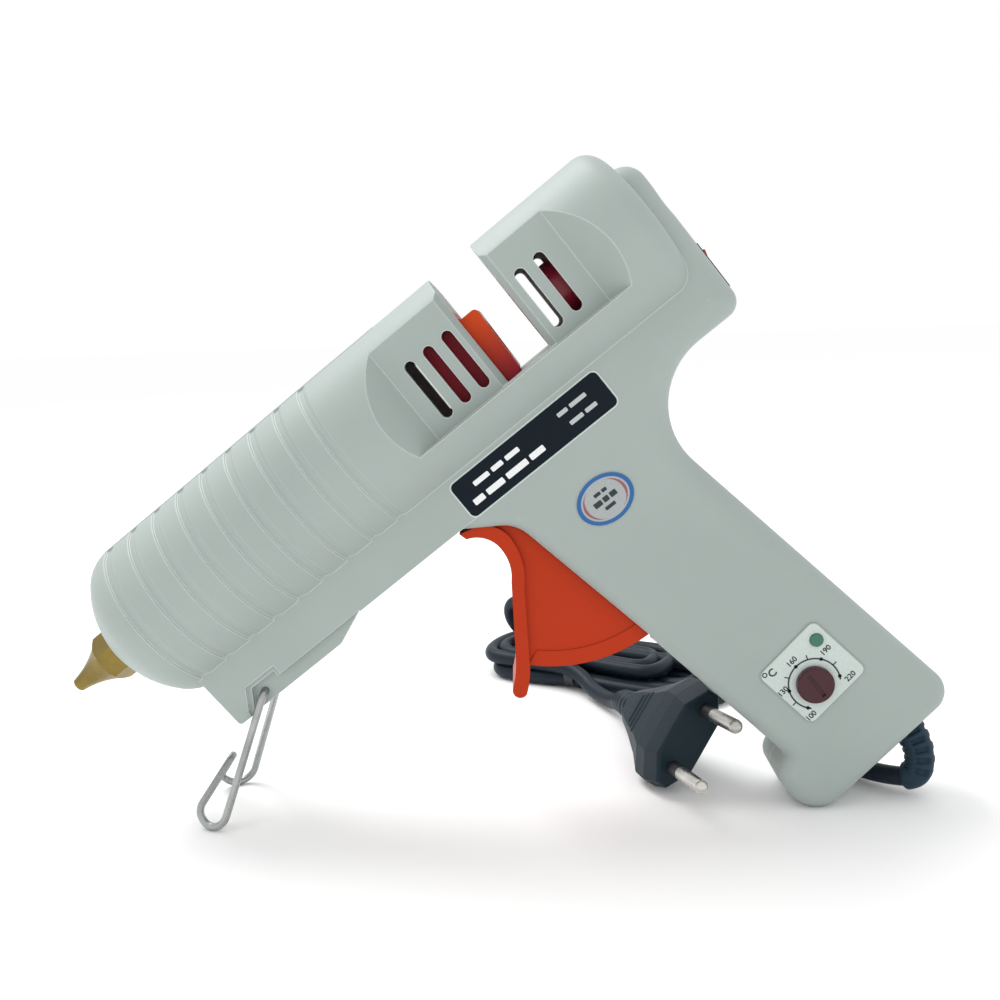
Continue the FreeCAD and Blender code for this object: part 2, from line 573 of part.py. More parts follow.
def pad_shapes(name, shapes, width):
    body = new_body(name)
    sketch = sketch_on(body, "XZ_Plane", name + "_outline", shapes)
    pad = body.newObject("PartDesign::Pad", name + "_pad")
    pad.Profile = sketch
    pad.SideType = "Symmetric"
    if isinstance(width, str):
        bind(pad, "Length", width)
    else:
        pad.Length = width
    doc.recompute()
    return body


web = pad_shapes("trigger_web", web_shapes, "trigger_width")
# The finger strip: front edge down, rounded end, back edge up to the tucked-in top.
flange_shapes = [
    line((113.3, -33.1), (113.9, -35.4)),
    arc_by_points((113.9, -35.4), (117.6, -38.0), (119.4, -43.6)),
    arc_by_points((119.4, -43.6), (118.4, -48.2), (115.9, -51.9)),
    line((115.9, -51.9), (102.8, -70.0)),
    arc_by_points((102.8, -70.0), (100.3, -72.8), (97.3, -75.4)),
    arc_by_points((97.3, -75.4), (97.0, -78.2), (99.4, -78.9)),
    arc_by_points((99.4, -78.9), (102.4, -76.3), (105.2, -73.1)),
    line((105.2, -73.1), (117.5, -55.5)),
    arc_by_points((117.5, -55.5), (121.6, -49.6), (123.2, -43.6)),
    arc_by_points((123.2, -43.6), (121.9, -37.6), (117.6, -34.2)),
    line((117.6, -34.2), (113.3, -33.1))]
flange = pad_shapes("trigger_flange", flange_shapes, "flange_width")
rim_outer = [polar(SKIRT, degrees) for degrees in SKIRT_ENDS]
rim_inner = [polar(SKIRT - RIM_HIGH, degrees) for degrees in (225.4, 248.0, 277.0)]
rim_shapes = [arc_by_points(*rim_outer), line(rim_outer[2], rim_inner[2]),
              arc_by_points(*rim_inner), line(rim_inner[0], rim_outer[0])]
rim = pad_shapes("trigger_rim", rim_shapes, "trigger_width + 0.6")
lining = [polar(SKIRT - TW, degrees) for degrees in (226.2, 248.0, 277.4)]
inner_shapes = [
    line((123.6, -37.4), (125.4, -44.0)),
    line((125.4, -44.0), (123.2, -51.4)),
    line((123.2, -51.4), lining[0]),
    arc_by_points(*lining),
    line(lining[2], (150.0, -84.0)),
    line((150.0, -84.0), (150.0, -37.4)),
    line((150.0, -37.4), (123.6, -37.4))]
web_inside = pad_shapes("trigger_hollow", inner_shapes, "trigger_width - 2 * trigger_wall")
arm_shapes = rounded([
    (LINK[0] - 2.9 * math.cos(LEANA) + 2.9 * math.sin(LEANA),
     LINK[1] + 2.9 * math.sin(LEANA) + 2.9 * math.cos(LEANA), 2.6),
    (LINK[0] + 2.9 * math.cos(LEANA) + 2.9 * math.sin(LEANA),
     LINK[1] - 2.9 * math.sin(LEANA) + 2.9 * math.cos(LEANA), 2.6),
    (PVX + 6.0, PVZ + 4.0, 0), (PVX + 5.0, PVZ - 6.5, 3),
    (PVX - 6.0, PVZ - 6.5, 3), (PVX - 6.2, PVZ + 3.0, 0)])
arms = pad_shapes("trigger_arms", arm_shapes, 12.4)
arms_gap = box("arms_gap", 100, 170, -3.8, 3.8, -36.0, 0)
arm_pair = cut("arm_pair", arms, arms_gap)
hub = cylinder("trigger_hub", Vec(PVX, -size("trigger_width") / 2, PVZ), Vec(0, 1, 0), 5.2, "trigger_width")
trigger_hollow = cut("trigger_hollowed", fuse("trigger_outer", [web, flange, rim]), web_inside)
spring_room = cylinder("spring_room", Vec(PVX, -3.7, PVZ), Vec(0, 1, 0), "spring_radius + 1.0", 7.4)
trigger_open = cut("trigger_open", fuse("trigger_walls", [trigger_hollow, arm_pair]), spring_room)
trigger_solid = fuse("trigger_solid", [trigger_open, hub])
trigger_bores = fuse("trigger_bores", [
    cylinder("trigger_bore", Vec(PVX, -15, PVZ), Vec(0, 1, 0), "pivot_pin_radius + 0.06", 30),
    cylinder("link_bore", Vec(LINK[0], -15, LINK[1]), Vec(0, 1, 0), "link_pin_radius + 0.01", 30)])
trigger = piece("trigger", cut("trigger", trigger_solid, trigger_bores))
# The return spring's coils lie close together, on a thin tube that joins them into one solid.
COILS = 8
coil_end = size("spring_pitch") * (COILS - 1) / 2
spring_sleeve = cylinder("spring_sleeve", Vec(PVX, -coil_end, PVZ), Vec(0, 1, 0), "spring_radius + 0.12",
                         2 * coil_end)
spring_eye = cylinder("spring_eye", Vec(PVX, -coil_end - 1, PVZ), Vec(0, 1, 0), "spring_radius - 0.12",
                      2 * coil_end + 2)
coils = [cut("spring_tube", spring_sleeve, spring_eye)]
for index in range(COILS):
    coil = doc.addObject("Part::Torus", "spring_coil_%d" % index)
    bind(coil, "Radius1", "spring_radius")
    bind(coil, "Radius2", "spring_wire")
    coil.Placement = FreeCAD.Placement(Vec(PVX, index * size("spring_pitch") - coil_end, PVZ),
                                       FreeCAD.Rotation(Vec(1, 0, 0), 90))
    coils.append(coil)
return_spring = piece("return_spring", fuse("return_spring", coils))
trigger_pin = piece("trigger_pin", cylinder("trigger_pin", Vec(PVX, -11.6, PVZ), Vec(0, 1, 0),
                                            "pivot_pin_radius", 23.2))
link_pin = piece("link_pin", cylinder("link_pin", Vec(LINK[0], -6.2, LINK[1]), Vec(0, 1, 0),
                                      "link_pin_radius", 12.4))

# --------------------------------------------------------------------------------------------
# Handle controls, labels, rear switch and screws
# --------------------------------------------------------------------------------------------
SIDE = -size("body_width") / 2


def turned_plate(name, wide, high, corner, depth, out):
    """A rounded plate on the near side of the handle, square to the handle's lean."""
    half_w, half_h = wide / 2, high / 2
    corners = [on_plate(-half_w, -half_h) + (corner,), on_plate(half_w, -half_h) + (corner,),
               on_plate(half_w, half_h) + (corner,), on_plate(-half_w, half_h) + (corner,)]
    body = pad_shapes(name, rounded(corners), 2 * (depth + out))
    return body


plate_block = turned_plate("plate_block", size("plate_wide"), size("plate_high"), 2.1, 0, 13.3)
plate_room = box("plate_room", 120, 200, SIDE, 30, -160, -80)
plate_holes = fuse("plate_holes", [
    plate_room,
    cylinder("plate_knob_hole", Vec(KNOB[0], -20, KNOB[1]), Vec(0, 1, 0), 3.3, 20),
    cylinder("plate_led_hole", Vec(LED[0], -20, LED[1]), Vec(0, 1, 0), "led_radius + 0.1", 20)])
control_plate = piece("control_plate", cut("control_plate", plate_block, plate_holes))
plate_face = SIDE - 0.3
knob_disc = cylinder("knob_disc", Vec(KNOB[0], plate_face - 0.2, KNOB[1]), Vec(0, -1, 0), "knob_radius",
                     "knob_out")
knob_shaft = cylinder("knob_shaft", Vec(KNOB[0], plate_face - 0.3, KNOB[1]), Vec(0, 1, 0), 2.9, 4.6)
knob_slot = box("knob_slot", KNOB[0] - 0.5, KNOB[0] + 0.5, plate_face - 3, plate_face - 1.5,
                KNOB[1] - 3.6, KNOB[1] + 3.6)
knob_solid = fuse("knob_solid", [knob_disc, knob_shaft])
knob_slotted = cut("knob_slotted", knob_solid, knob_slot)
doc.recompute()
knob_round = doc.addObject("Part::Fillet", "knob_round")
knob_round.Base = knob_slotted
rim_edges = [i for i, e in enumerate(knob_slotted.Shape.Edges, start=1)
             if e.Length > 20 and abs(e.Vertexes[0].Point.y - (plate_face - 2.1)) < 0.01]
knob_round.Edges = [(i, 0.6, 0.6) for i in rim_edges]
temperature_knob = piece("temperature_knob", knob_round)
led = fuse("led_solid", [
    cylinder("led_stem", Vec(LED[0], SIDE + 3.0, LED[1]), Vec(0, -1, 0), 1.4, 3.1),
    cylinder("led_cap", Vec(LED[0], SIDE, LED[1]), Vec(0, -1, 0), "led_radius", 0.8)])
status_led = piece("status_led", led)
pot_case = box("pot_case", KNOB[0] - 5.5, KNOB[0] + 5.5, -8.4, -1.3, KNOB[1] - 5.5, KNOB[1] + 5.5)
pot_hole = cylinder("pot_hole", Vec(KNOB[0], -9.2, KNOB[1]), Vec(0, 1, 0), 3.2, 2.2)
potentiometer = piece("potentiometer", cut("potentiometer", pot_case, pot_hole))
board = side_pad("board_block", [on_plate(-11.5, -17.0) + (1.5,), on_plate(11.5, -17.0) + (1.5,),
                                 on_plate(11.5, 12.5) + (1.5,), on_plate(-11.5, 12.5) + (1.5,)],
                 "body_width - 12")
board_keep = box("board_keep", 120, 200, -1.2, 0.4, -160, -80)
control_board = piece("control_board", common("control_board", board, board_keep))

label_half = size("label_long") / 2, size("label_high") / 2
LX, LZ = size("label_x"), size("label_z")
label_block = side_pad("label_block", [(LX - label_half[0], LZ - label_half[1], 1.6),
                                       (LX + label_half[0], LZ - label_half[1], 1.6),
                                       (LX + label_half[0], LZ + label_half[1], 1.6),
                                       (LX - label_half[0], LZ + label_half[1], 1.6)],
                       "body_width + 2 * label_thick")
label_room = box("label_room", 90, 200, SIDE, 30, -60, 0)
rating_label = piece("rating_label", cut("rating_label", label_block, label_room))
oval = doc.addObject("Part::Ellipse", "oval_edge")
bind(oval, "MajorRadius", "sticker_long")
bind(oval, "MinorRadius", "sticker_high")
oval.Placement = FreeCAD.Placement(Vec(size("sticker_x"), SIDE, size("sticker_z")),
                                   FreeCAD.Rotation(Vec(1, 0, 0), 90))
oval_solid = doc.addObject("Part::Extrusion", "oval_solid")
oval_solid.Base = oval
oval_solid.DirMode = "Custom"
oval_solid.Dir = Vec(0, -1, 0)
bind(oval_solid, "LengthFwd", "label_thick")
oval_solid.Solid = True
oval_sticker = piece("oval_sticker", oval_solid)

SZ = size("switch_z")
frame_block = box("switch_frame_block", 197.7, 209.0, -size("switch_wide") / 2, size("switch_wide") / 2,
                  SZ - size("switch_high") / 2, SZ + size("switch_high") / 2)
frame_hole = box("switch_frame_hole", 201.0, 210.0, -3.6, 3.6, SZ - 6.1, SZ + 6.1)
switch_pivot_way = cylinder("switch_pivot_way", Vec(204.6, -4.2, SZ), Vec(0, 1, 0), 1.05, 8.4)
switch_housing = piece("switch_housing", cut("switch_housing", frame_block,
                                             fuse("switch_cuts", [frame_hole, switch_pivot_way])))
rocker_corners = [(203.4, SZ - 1.6, 0), (207.8, SZ - 5.2, 0.5), (208.6, SZ - 5.0, 0.3), (208.5, SZ, 0),
                  (209.8, SZ + 4.5, 0.4), (208.9, SZ + 4.9, 0.4), (203.4, SZ + 1.6, 0)]
rocker_pad = side_pad("rocker_block", rocker_corners, "rocker_wide")
rocker_axle = cylinder("rocker_axle", Vec(204.6, -4.1, SZ), Vec(0, 1, 0), 1.0, 8.2)
switch_rocker = piece("switch_rocker", fuse("switch_rocker", [rocker_pad, rocker_axle]))

screw_shapes = []
for index, (sx, sz) in enumerate(SCREWS):
    shank = cylinder("screw_shank_%d" % index, Vec(sx, -8.5, sz), Vec(0, 1, 0), "screw_radius - 0.25", 18.8)
    head = cylinder("screw_head_%d" % index, Vec(sx, 10.2, sz), Vec(0, 1, 0), "screw_head_radius", 1.9)
    cross_a = box("screw_cross_a_%d" % index, sx - 1.5, sx + 1.5, 11.3, 13, sz - 0.3, sz + 0.3)
    cross_b = box("screw_cross_b_%d" % index, sx - 0.3, sx + 0.3, 11.3, 13, sz - 1.5, sz + 1.5)
    screw_shapes.append(cut("screw_%d" % index, fuse("screw_solid_%d" % index, [shank, head]),
                            fuse("screw_cross_%d" % index, [cross_a, cross_b])))
screws = doc.addObject("Part::Compound", "shell_screws")
screws.Links = screw_shapes
shell_screws = piece("shell_screws", screws)

# --------------------------------------------------------------------------------------------
# Bent pieces: wire paths of straight runs and tangent arcs
# --------------------------------------------------------------------------------------------
def bent_path(points, radii):
    """A wire of straight runs joined by tangent arcs; one radius for each inner point."""
    edges = []
    last = points[0]
    for i in range(1, len(points) - 1):
        here = points[i]
        back = points[i - 1] - here
        ahead = points[i + 1] - here
        back.normalize()
        ahead.normalize()
        half = back.getAngle(ahead) / 2.0
        run = radii[i - 1] / math.tan(half)
        first = here + back * run
        after = here + ahead * run
        middle = back + ahead
        middle.normalize()
        centre = here + middle * (radii[i - 1] / math.sin(half))
        if (first - last).Length > 1e-6:
            edges.append(Part.LineSegment(last, first).toShape())
        edges.append(Part.Arc(first, centre - middle * radii[i - 1], after).toShape())
        last = after
    edges.append(Part.LineSegment(last, points[-1]).toShape())
    return Part.Wire(edges)


def tube_along(path, radius):
    """A round bar swept along the path."""
    edge = path.Edges[0]
    start = edge.valueAt(edge.FirstParameter)
    heading = edge.tangentAt(edge.FirstParameter)
    if (path.Vertexes[0].Point - start).Length > 1e-6:
        start = path.Vertexes[0].Point
    circle = Part.Wire([Part.makeCircle(radius, start, heading)])
    return path.makePipeShell([circle], True, False)


def cord_radii(points):
    """The largest arcs the runs allow: 0.45 of the shorter run over tan of half the turn."""
    radii = []
    for i in range(1, len(points) - 1):
        before = points[i] - points[i - 1]
        after = points[i + 1] - points[i]
        turn = before.getAngle(after)
        radii.append(0.45 * min(before.Length, after.Length) / math.tan(turn / 2.0))
    return radii


def feature(name, shape):
    result = doc.addObject("Part::Feature", name)
    result.Shape = shape
    return result


LEAN = math.radians(size("lean"))


def height(point):
    """Height, in the gun's lean, of a point given in the gun's own axes."""
    return point.x * math.sin(LEAN) + point.z * math.cos(LEAN)


doc.recompute()
mesh_points = right_shell.Shape.tessellate(0.05)[0]
toe_height = min(height(p) for p in mesh_points)

# Wire stand: two legs that splay to feet, each foot turned up to a shared middle peak.
WR = size("wire_radius")
SPX, SPZ = size("stand_pivot_x"), size("stand_pivot_z")
TOPY, FOOTY = size("stand_half_top"), size("stand_half_foot")


def stand_path(slide):
    leg = Vec(7.7 - SPX, 0, -57.7 - SPZ)
    leg.normalize()
    foot = Vec(7.7, 0, -57.7) + leg * slide
    rise = foot + Vec(-0.5, 0, 10.0)
    peak = Vec(21.5, 0, -42.8)
    half = [Vec(SPX, 6.6, SPZ), Vec(SPX, TOPY, SPZ), Vec(foot.x, FOOTY, foot.z),
            Vec(rise.x, 11.5, rise.z), peak]
    near = [Vec(p.x, -p.y, p.z) for p in half[:-1]]
    points = half + near[::-1]
    radii = [1.9, 5.0, 4.2, 2.2, 4.2, 5.0, 1.9]
    return bent_path(points, radii)


slide = 0.0
for step in range(4):
    path = stand_path(slide)
    low = min(height(p) for edge in path.Edges for p in edge.discretize(40)) - WR
    slide += (low - toe_height) / 0.943
stand_wire = feature("wire_stand", tube_along(stand_path(slide), WR))
wire_stand = piece("wire_stand", stand_wire)

# --------------------------------------------------------------------------------------------
# Stance: lean the gun so that the feet and the toe share the table, centred on its box
# --------------------------------------------------------------------------------------------
doc.recompute()
lows, rights = [], []
for name, obj, leaning in PIECES:
    for p in obj.Shape.tessellate(0.05)[0]:
        lows.append(height(p))
        rights.append(p.x * math.cos(LEAN) - p.z * math.sin(LEAN))
SHIFT = Vec(-(min(rights) + max(rights)) / 2.0, 0, -min(lows))
STANCE = FreeCAD.Placement(SHIFT, FreeCAD.Rotation(Vec(0, 1, 0), -size("lean")))


# --------------------------------------------------------------------------------------------
# Cord side: boot, clamp, tubes, hank, tie and plug, drawn in the standing frame
# --------------------------------------------------------------------------------------------
CD = size("cord_diameter")
OUT = STANCE.Rotation.multVec(CORD_OUT)
exit_at = STANCE.multVec(CORD_EXIT)
boot_points = [exit_at - OUT * 7.5, exit_at + OUT * 9.0 + Vec(0, -2.0, 0), Vec(exit_at.x + 4.6, -6.4, 4.45),
               Vec(exit_at.x - 2.3, -0.4, 4.4)]
boot_path = bent_path(boot_points, [8.0, 4.6])
boot_core = feature("boot_core", tube_along(boot_path, 3.75))
ridges = []
spots = boot_path.discretize(Number=60)
for k in range(20, 58, 5):
    heading = spots[k + 1] - spots[k - 1]
    heading.normalize()
    ridges.append(cylinder("boot_ridge_%d" % k, spots[k] - heading * 0.75, heading, 4.35, 1.5))
gland_ring = cylinder("gland_ring", exit_at - OUT * 4.6, OUT, 4.75, 4.4)
gland_flange = cylinder("gland_flange", exit_at - OUT * 7.0, OUT, 5.6, 2.0)
boot_parts = [boot_core, gland_ring, gland_flange] + ridges
strain_relief = piece("strain_relief", fuse("strain_relief", boot_parts), False)

cord_a_points = [boot_points[-1], Vec(102.0, 8.6, 3.4), Vec(93.8, 22.6, 2.8), Vec(86.5, 42.0, 2.8),
                 Vec(83.5, 67.0, 4.2), Vec(79.5, 81.5, 6.6)]
cord_b_points = [Vec(39.2, 57.2, 9.6), Vec(35.6, 69.0, 7.2), Vec(30.8, 82.0, 6.4), Vec(25.0, 94.0, 7.4)]
cord_tubes = []
for name, points in (("cord_to_gun", cord_a_points), ("cord_to_plug", cord_b_points)):
    radii = cord_radii(points)
    cord_path = bent_path(points, radii)
    tube = piece(name, feature(name, tube_along(cord_path, CD / 2)), False)
    section = math.pi * CD * CD / 4
    print(name, "length", round(cord_path.Length, 1), "radii", [round(r, 1) for r in radii],
          "volume ratio", round(tube.Shape.Volume / (section * cord_path.Length), 4))

# The hank: a rounded bar of folded cord lying behind the gun, and the band round its middle.
HANK_LONG, HANK_WIDE, HANK_HIGH = 100.0, 27.0, 19.0
hank_mid = Vec(36.0, 101.0, HANK_HIGH / 2 + 0.05)
HANK_TURN = FreeCAD.Rotation(Vec(0, 0, 1), 151.5)
hank_bar = doc.addObject("Part::Box", "hank_bar")
hank_bar.Length = HANK_LONG
hank_bar.Width = HANK_WIDE
hank_bar.Height = HANK_HIGH
hank_corner = Vec(-HANK_LONG / 2, -HANK_WIDE / 2, -HANK_HIGH / 2)
hank_bar.Placement = FreeCAD.Placement(hank_corner, FreeCAD.Rotation())
doc.recompute()
hank_round = doc.addObject("Part::Fillet", "hank_round")
hank_round.Base = hank_bar
hank_round.Edges = [(i, 7.5, 7.5) for i in range(1, 13)]
doc.recompute()
hank_place = FreeCAD.Placement(hank_mid, HANK_TURN)
TIE_AT, TIE_LONG = 9.0, 6.0
tie_slab = box("tie_slab", TIE_AT - TIE_LONG / 2, TIE_AT + TIE_LONG / 2, -HANK_WIDE / 2 - 0.9,
               HANK_WIDE / 2 + 0.9, -HANK_HIGH / 2 - 0.0, HANK_HIGH / 2 + 0.9)
tie_core = common("tie_core", box("tie_core_slab", TIE_AT - 5, TIE_AT + 5, -20, 20, -20, 20), hank_round)
tie_band = cut("tie_band", tie_slab, tie_core)
doc.recompute()
cord_hank = piece("cord_hank", feature("cord_hank", hank_round.Shape.copy()), False)
cord_hank.Placement = hank_place
hank_tie = piece("hank_tie", feature("hank_tie", tie_band.Shape.copy()), False)
hank_tie.Placement = hank_place

# Two-pin mains plug lying on its edge; its own axes are: pins along +X, pin spacing along Y.
pins_out = Vec(0.31, -0.946, 0.09)
pins_out.normalize()
spread = Vec(0.55, 0.24, 0.80)
spread = spread - pins_out * spread.dot(pins_out)
spread.normalize()
thick = pins_out.cross(spread)
PLUG_FACE = Vec(53.2, 2.4, 15.55)
plug_place = FreeCAD.Placement(FreeCAD.Matrix(
    pins_out.x, spread.x, thick.x, PLUG_FACE.x, pins_out.y, spread.y, thick.y, PLUG_FACE.y,
    pins_out.z, spread.z, thick.z, PLUG_FACE.z, 0, 0, 0, 1))


def plug_section(x, half_wide, half_thick, take_wide, take_thick):
    """A flat eight-sided section across the plug's axis; the corners lose take_wide by take_thick."""
    shoulder = half_wide - take_wide
    flank = half_thick - take_thick
    corners = [(half_wide, flank), (shoulder, half_thick), (-shoulder, half_thick), (-half_wide, flank),
               (-half_wide, -flank), (-shoulder, -half_thick), (shoulder, -half_thick), (half_wide, -flank)]
    places = [Vec(x, a, b) for a, b in corners]
    return Part.makePolygon(places + [places[0]])


plug_sections = [plug_section(0.0, 15.0, 6.2, 7.2, 4.4), plug_section(-7.0, 16.6, 6.9, 7.6, 4.6),
                 plug_section(-13.0, 16.2, 6.9, 7.4, 4.6), plug_section(-27.0, 8.2, 6.2, 3.0, 3.0),
                 plug_section(-35.0, 5.6, 5.4, 2.4, 2.4)]
plug_loft = Part.makeLoft(plug_sections, True, True)
PIN_RADIUS, PIN_LONG, PIN_HALF_SPACING, PIN_ROOT = 2.0, 19.0, 9.3, 6.0
CORE_RADIUS, SLEEVE_RADIUS, SLEEVE_LONG = 1.4, 2.0, 5.5


def along_pin(radius, start, end, side):
    """A bar of a pin, in the plug's own axes, from start to end along the pin."""
    return Part.makeCylinder(radius, end - start, Vec(start, side * PIN_HALF_SPACING, 0), Vec(1, 0, 0))


pins, roots, sleeves = [], [], []
for side in (-1, 1):
    core = along_pin(CORE_RADIUS, -PIN_ROOT, SLEEVE_LONG, side)
    bare = along_pin(PIN_RADIUS, SLEEVE_LONG, PIN_LONG - PIN_RADIUS, side)
    tip = Part.makeSphere(PIN_RADIUS, Vec(PIN_LONG - PIN_RADIUS, side * PIN_HALF_SPACING, 0))
    pins.append(core.fuse(bare).fuse(tip).removeSplitter())
    roots.append(along_pin(CORE_RADIUS, -PIN_ROOT, 1.0, side))
    sleeves.append(along_pin(SLEEVE_RADIUS, 0.0, SLEEVE_LONG, side).cut(
        along_pin(CORE_RADIUS, -1.0, SLEEVE_LONG + 1.0, side)))
plug_body = piece("plug_body", feature("plug_body", plug_loft.cut(roots[0].fuse(roots[1]))), False)
plug_body.Placement = plug_place
plug_pins = piece("plug_pins", feature("plug_pins", Part.makeCompound(pins)), False)
plug_pins.Placement = plug_place
pin_sleeves = piece("pin_sleeves", feature("pin_sleeves", Part.makeCompound(sleeves)), False)
pin_sleeves.Placement = plug_place
relief_start = plug_place.multVec(Vec(-34.0, 0, 0))
relief_next = plug_place.multVec(Vec(-43.0, 0, 0))
relief_path = bent_path([relief_start, relief_next, cord_b_points[0]], [14.0])
plug_relief = piece("plug_relief", feature("plug_relief", tube_along(relief_path, 3.7)), False)

# --------------------------------------------------------------------------------------------
# Check every piece and write it
# --------------------------------------------------------------------------------------------
for name, obj, leaning in PIECES:
    if leaning:
        obj.Placement = STANCE.multiply(obj.Placement)
doc.recompute()
os.makedirs("parts", exist_ok=True)
for old in os.listdir("parts"):
    if old.endswith(".step"):
        os.remove(os.path.join("parts", old))
for obj in doc.Objects:
    if "Invalid" in obj.State or "Error" in obj.State:
        raise RuntimeError("failed feature: " + obj.Name)
for name, obj, leaning in PIECES:
    shape = obj.Shape
    if shape.isNull() or not shape.isValid() or shape.Volume <= 0 or not shape.Solids:
        raise RuntimeError("bad shape: " + name)
    shape.exportStep("parts/%s.step" % name)
print("pieces", len(PIECES), "stance", SHIFT)
print("plug pins out", pins_out, "spread", spread)
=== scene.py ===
"""Looks of the hot-melt glue gun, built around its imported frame.

The gun's own axes run along the barrel: X back from the nozzle tip, Y to the far side and Z up
from the barrel's axis, in millimetres.  GUN carries them to the frame, where everything is in
metres.  The materials, the printed marks, the cord and the stage have a section each.
"""
import json
import math
import random

import bmesh
import bpy
from mathutils import Matrix, Vector


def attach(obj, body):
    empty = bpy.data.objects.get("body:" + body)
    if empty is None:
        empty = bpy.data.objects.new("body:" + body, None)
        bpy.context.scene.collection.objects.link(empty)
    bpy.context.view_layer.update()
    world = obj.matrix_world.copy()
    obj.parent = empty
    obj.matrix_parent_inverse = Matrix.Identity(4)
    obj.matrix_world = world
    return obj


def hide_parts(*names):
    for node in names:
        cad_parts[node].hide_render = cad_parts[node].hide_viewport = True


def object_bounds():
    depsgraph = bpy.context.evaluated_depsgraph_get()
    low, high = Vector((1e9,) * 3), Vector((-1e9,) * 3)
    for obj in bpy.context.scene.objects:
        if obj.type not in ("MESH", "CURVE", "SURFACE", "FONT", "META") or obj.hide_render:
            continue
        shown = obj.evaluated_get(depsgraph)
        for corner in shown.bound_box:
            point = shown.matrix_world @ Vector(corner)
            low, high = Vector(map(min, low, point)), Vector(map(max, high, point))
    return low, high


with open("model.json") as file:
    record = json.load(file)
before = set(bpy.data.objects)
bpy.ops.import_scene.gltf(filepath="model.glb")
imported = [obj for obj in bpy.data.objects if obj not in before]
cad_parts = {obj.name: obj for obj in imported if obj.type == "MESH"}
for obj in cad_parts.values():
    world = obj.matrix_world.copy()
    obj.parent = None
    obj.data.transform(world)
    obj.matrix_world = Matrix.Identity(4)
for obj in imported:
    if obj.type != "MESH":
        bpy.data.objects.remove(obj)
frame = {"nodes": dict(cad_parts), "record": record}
cad_low, cad_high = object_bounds()
NODES = frame["nodes"]
RECORD = frame["record"]
MM = 0.001

# ---------------------------------------------------------------------------------------------
# The gun's axes and the plug's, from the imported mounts
# ---------------------------------------------------------------------------------------------
MOUNTS = {mount["name"]: mount for mount in RECORD["mounts"]}
INLET_X = 195.0
BACK = Vector(MOUNTS["stick_inlet"]["axis"])
UP = Vector((-BACK.z, 0.0, BACK.x))
ACROSS = Vector((0.0, 1.0, 0.0))
GUN_ORIGIN = Vector(MOUNTS["stick_inlet"]["pos_m"]) - BACK * INLET_X * MM


def axes_matrix(origin, x_axis, y_axis, z_axis):
    """Carries millimetres in the given axes to metres in the frame."""
    matrix = Matrix((x_axis, y_axis, z_axis)).transposed().to_4x4() @ Matrix.Scale(MM, 4)
    matrix.translation = origin
    return matrix


GUN = axes_matrix(GUN_ORIGIN, BACK, ACROSS, UP)
PIN_LOW = Vector(MOUNTS["plug_pin_low"]["pos_m"])
PIN_HIGH = Vector(MOUNTS["plug_pin_high"]["pos_m"])
PIN_OUT = Vector(MOUNTS["plug_pin_low"]["axis"]).normalized()
PIN_SPREAD = (PIN_HIGH - PIN_LOW).normalized()
PIN_MOUNT_OUT = 8.5
PLUG_FACE = (PIN_LOW + PIN_HIGH) / 2 - PIN_OUT * PIN_MOUNT_OUT * MM
PLUG = axes_matrix(PLUG_FACE, PIN_OUT, PIN_SPREAD, PIN_OUT.cross(PIN_SPREAD))


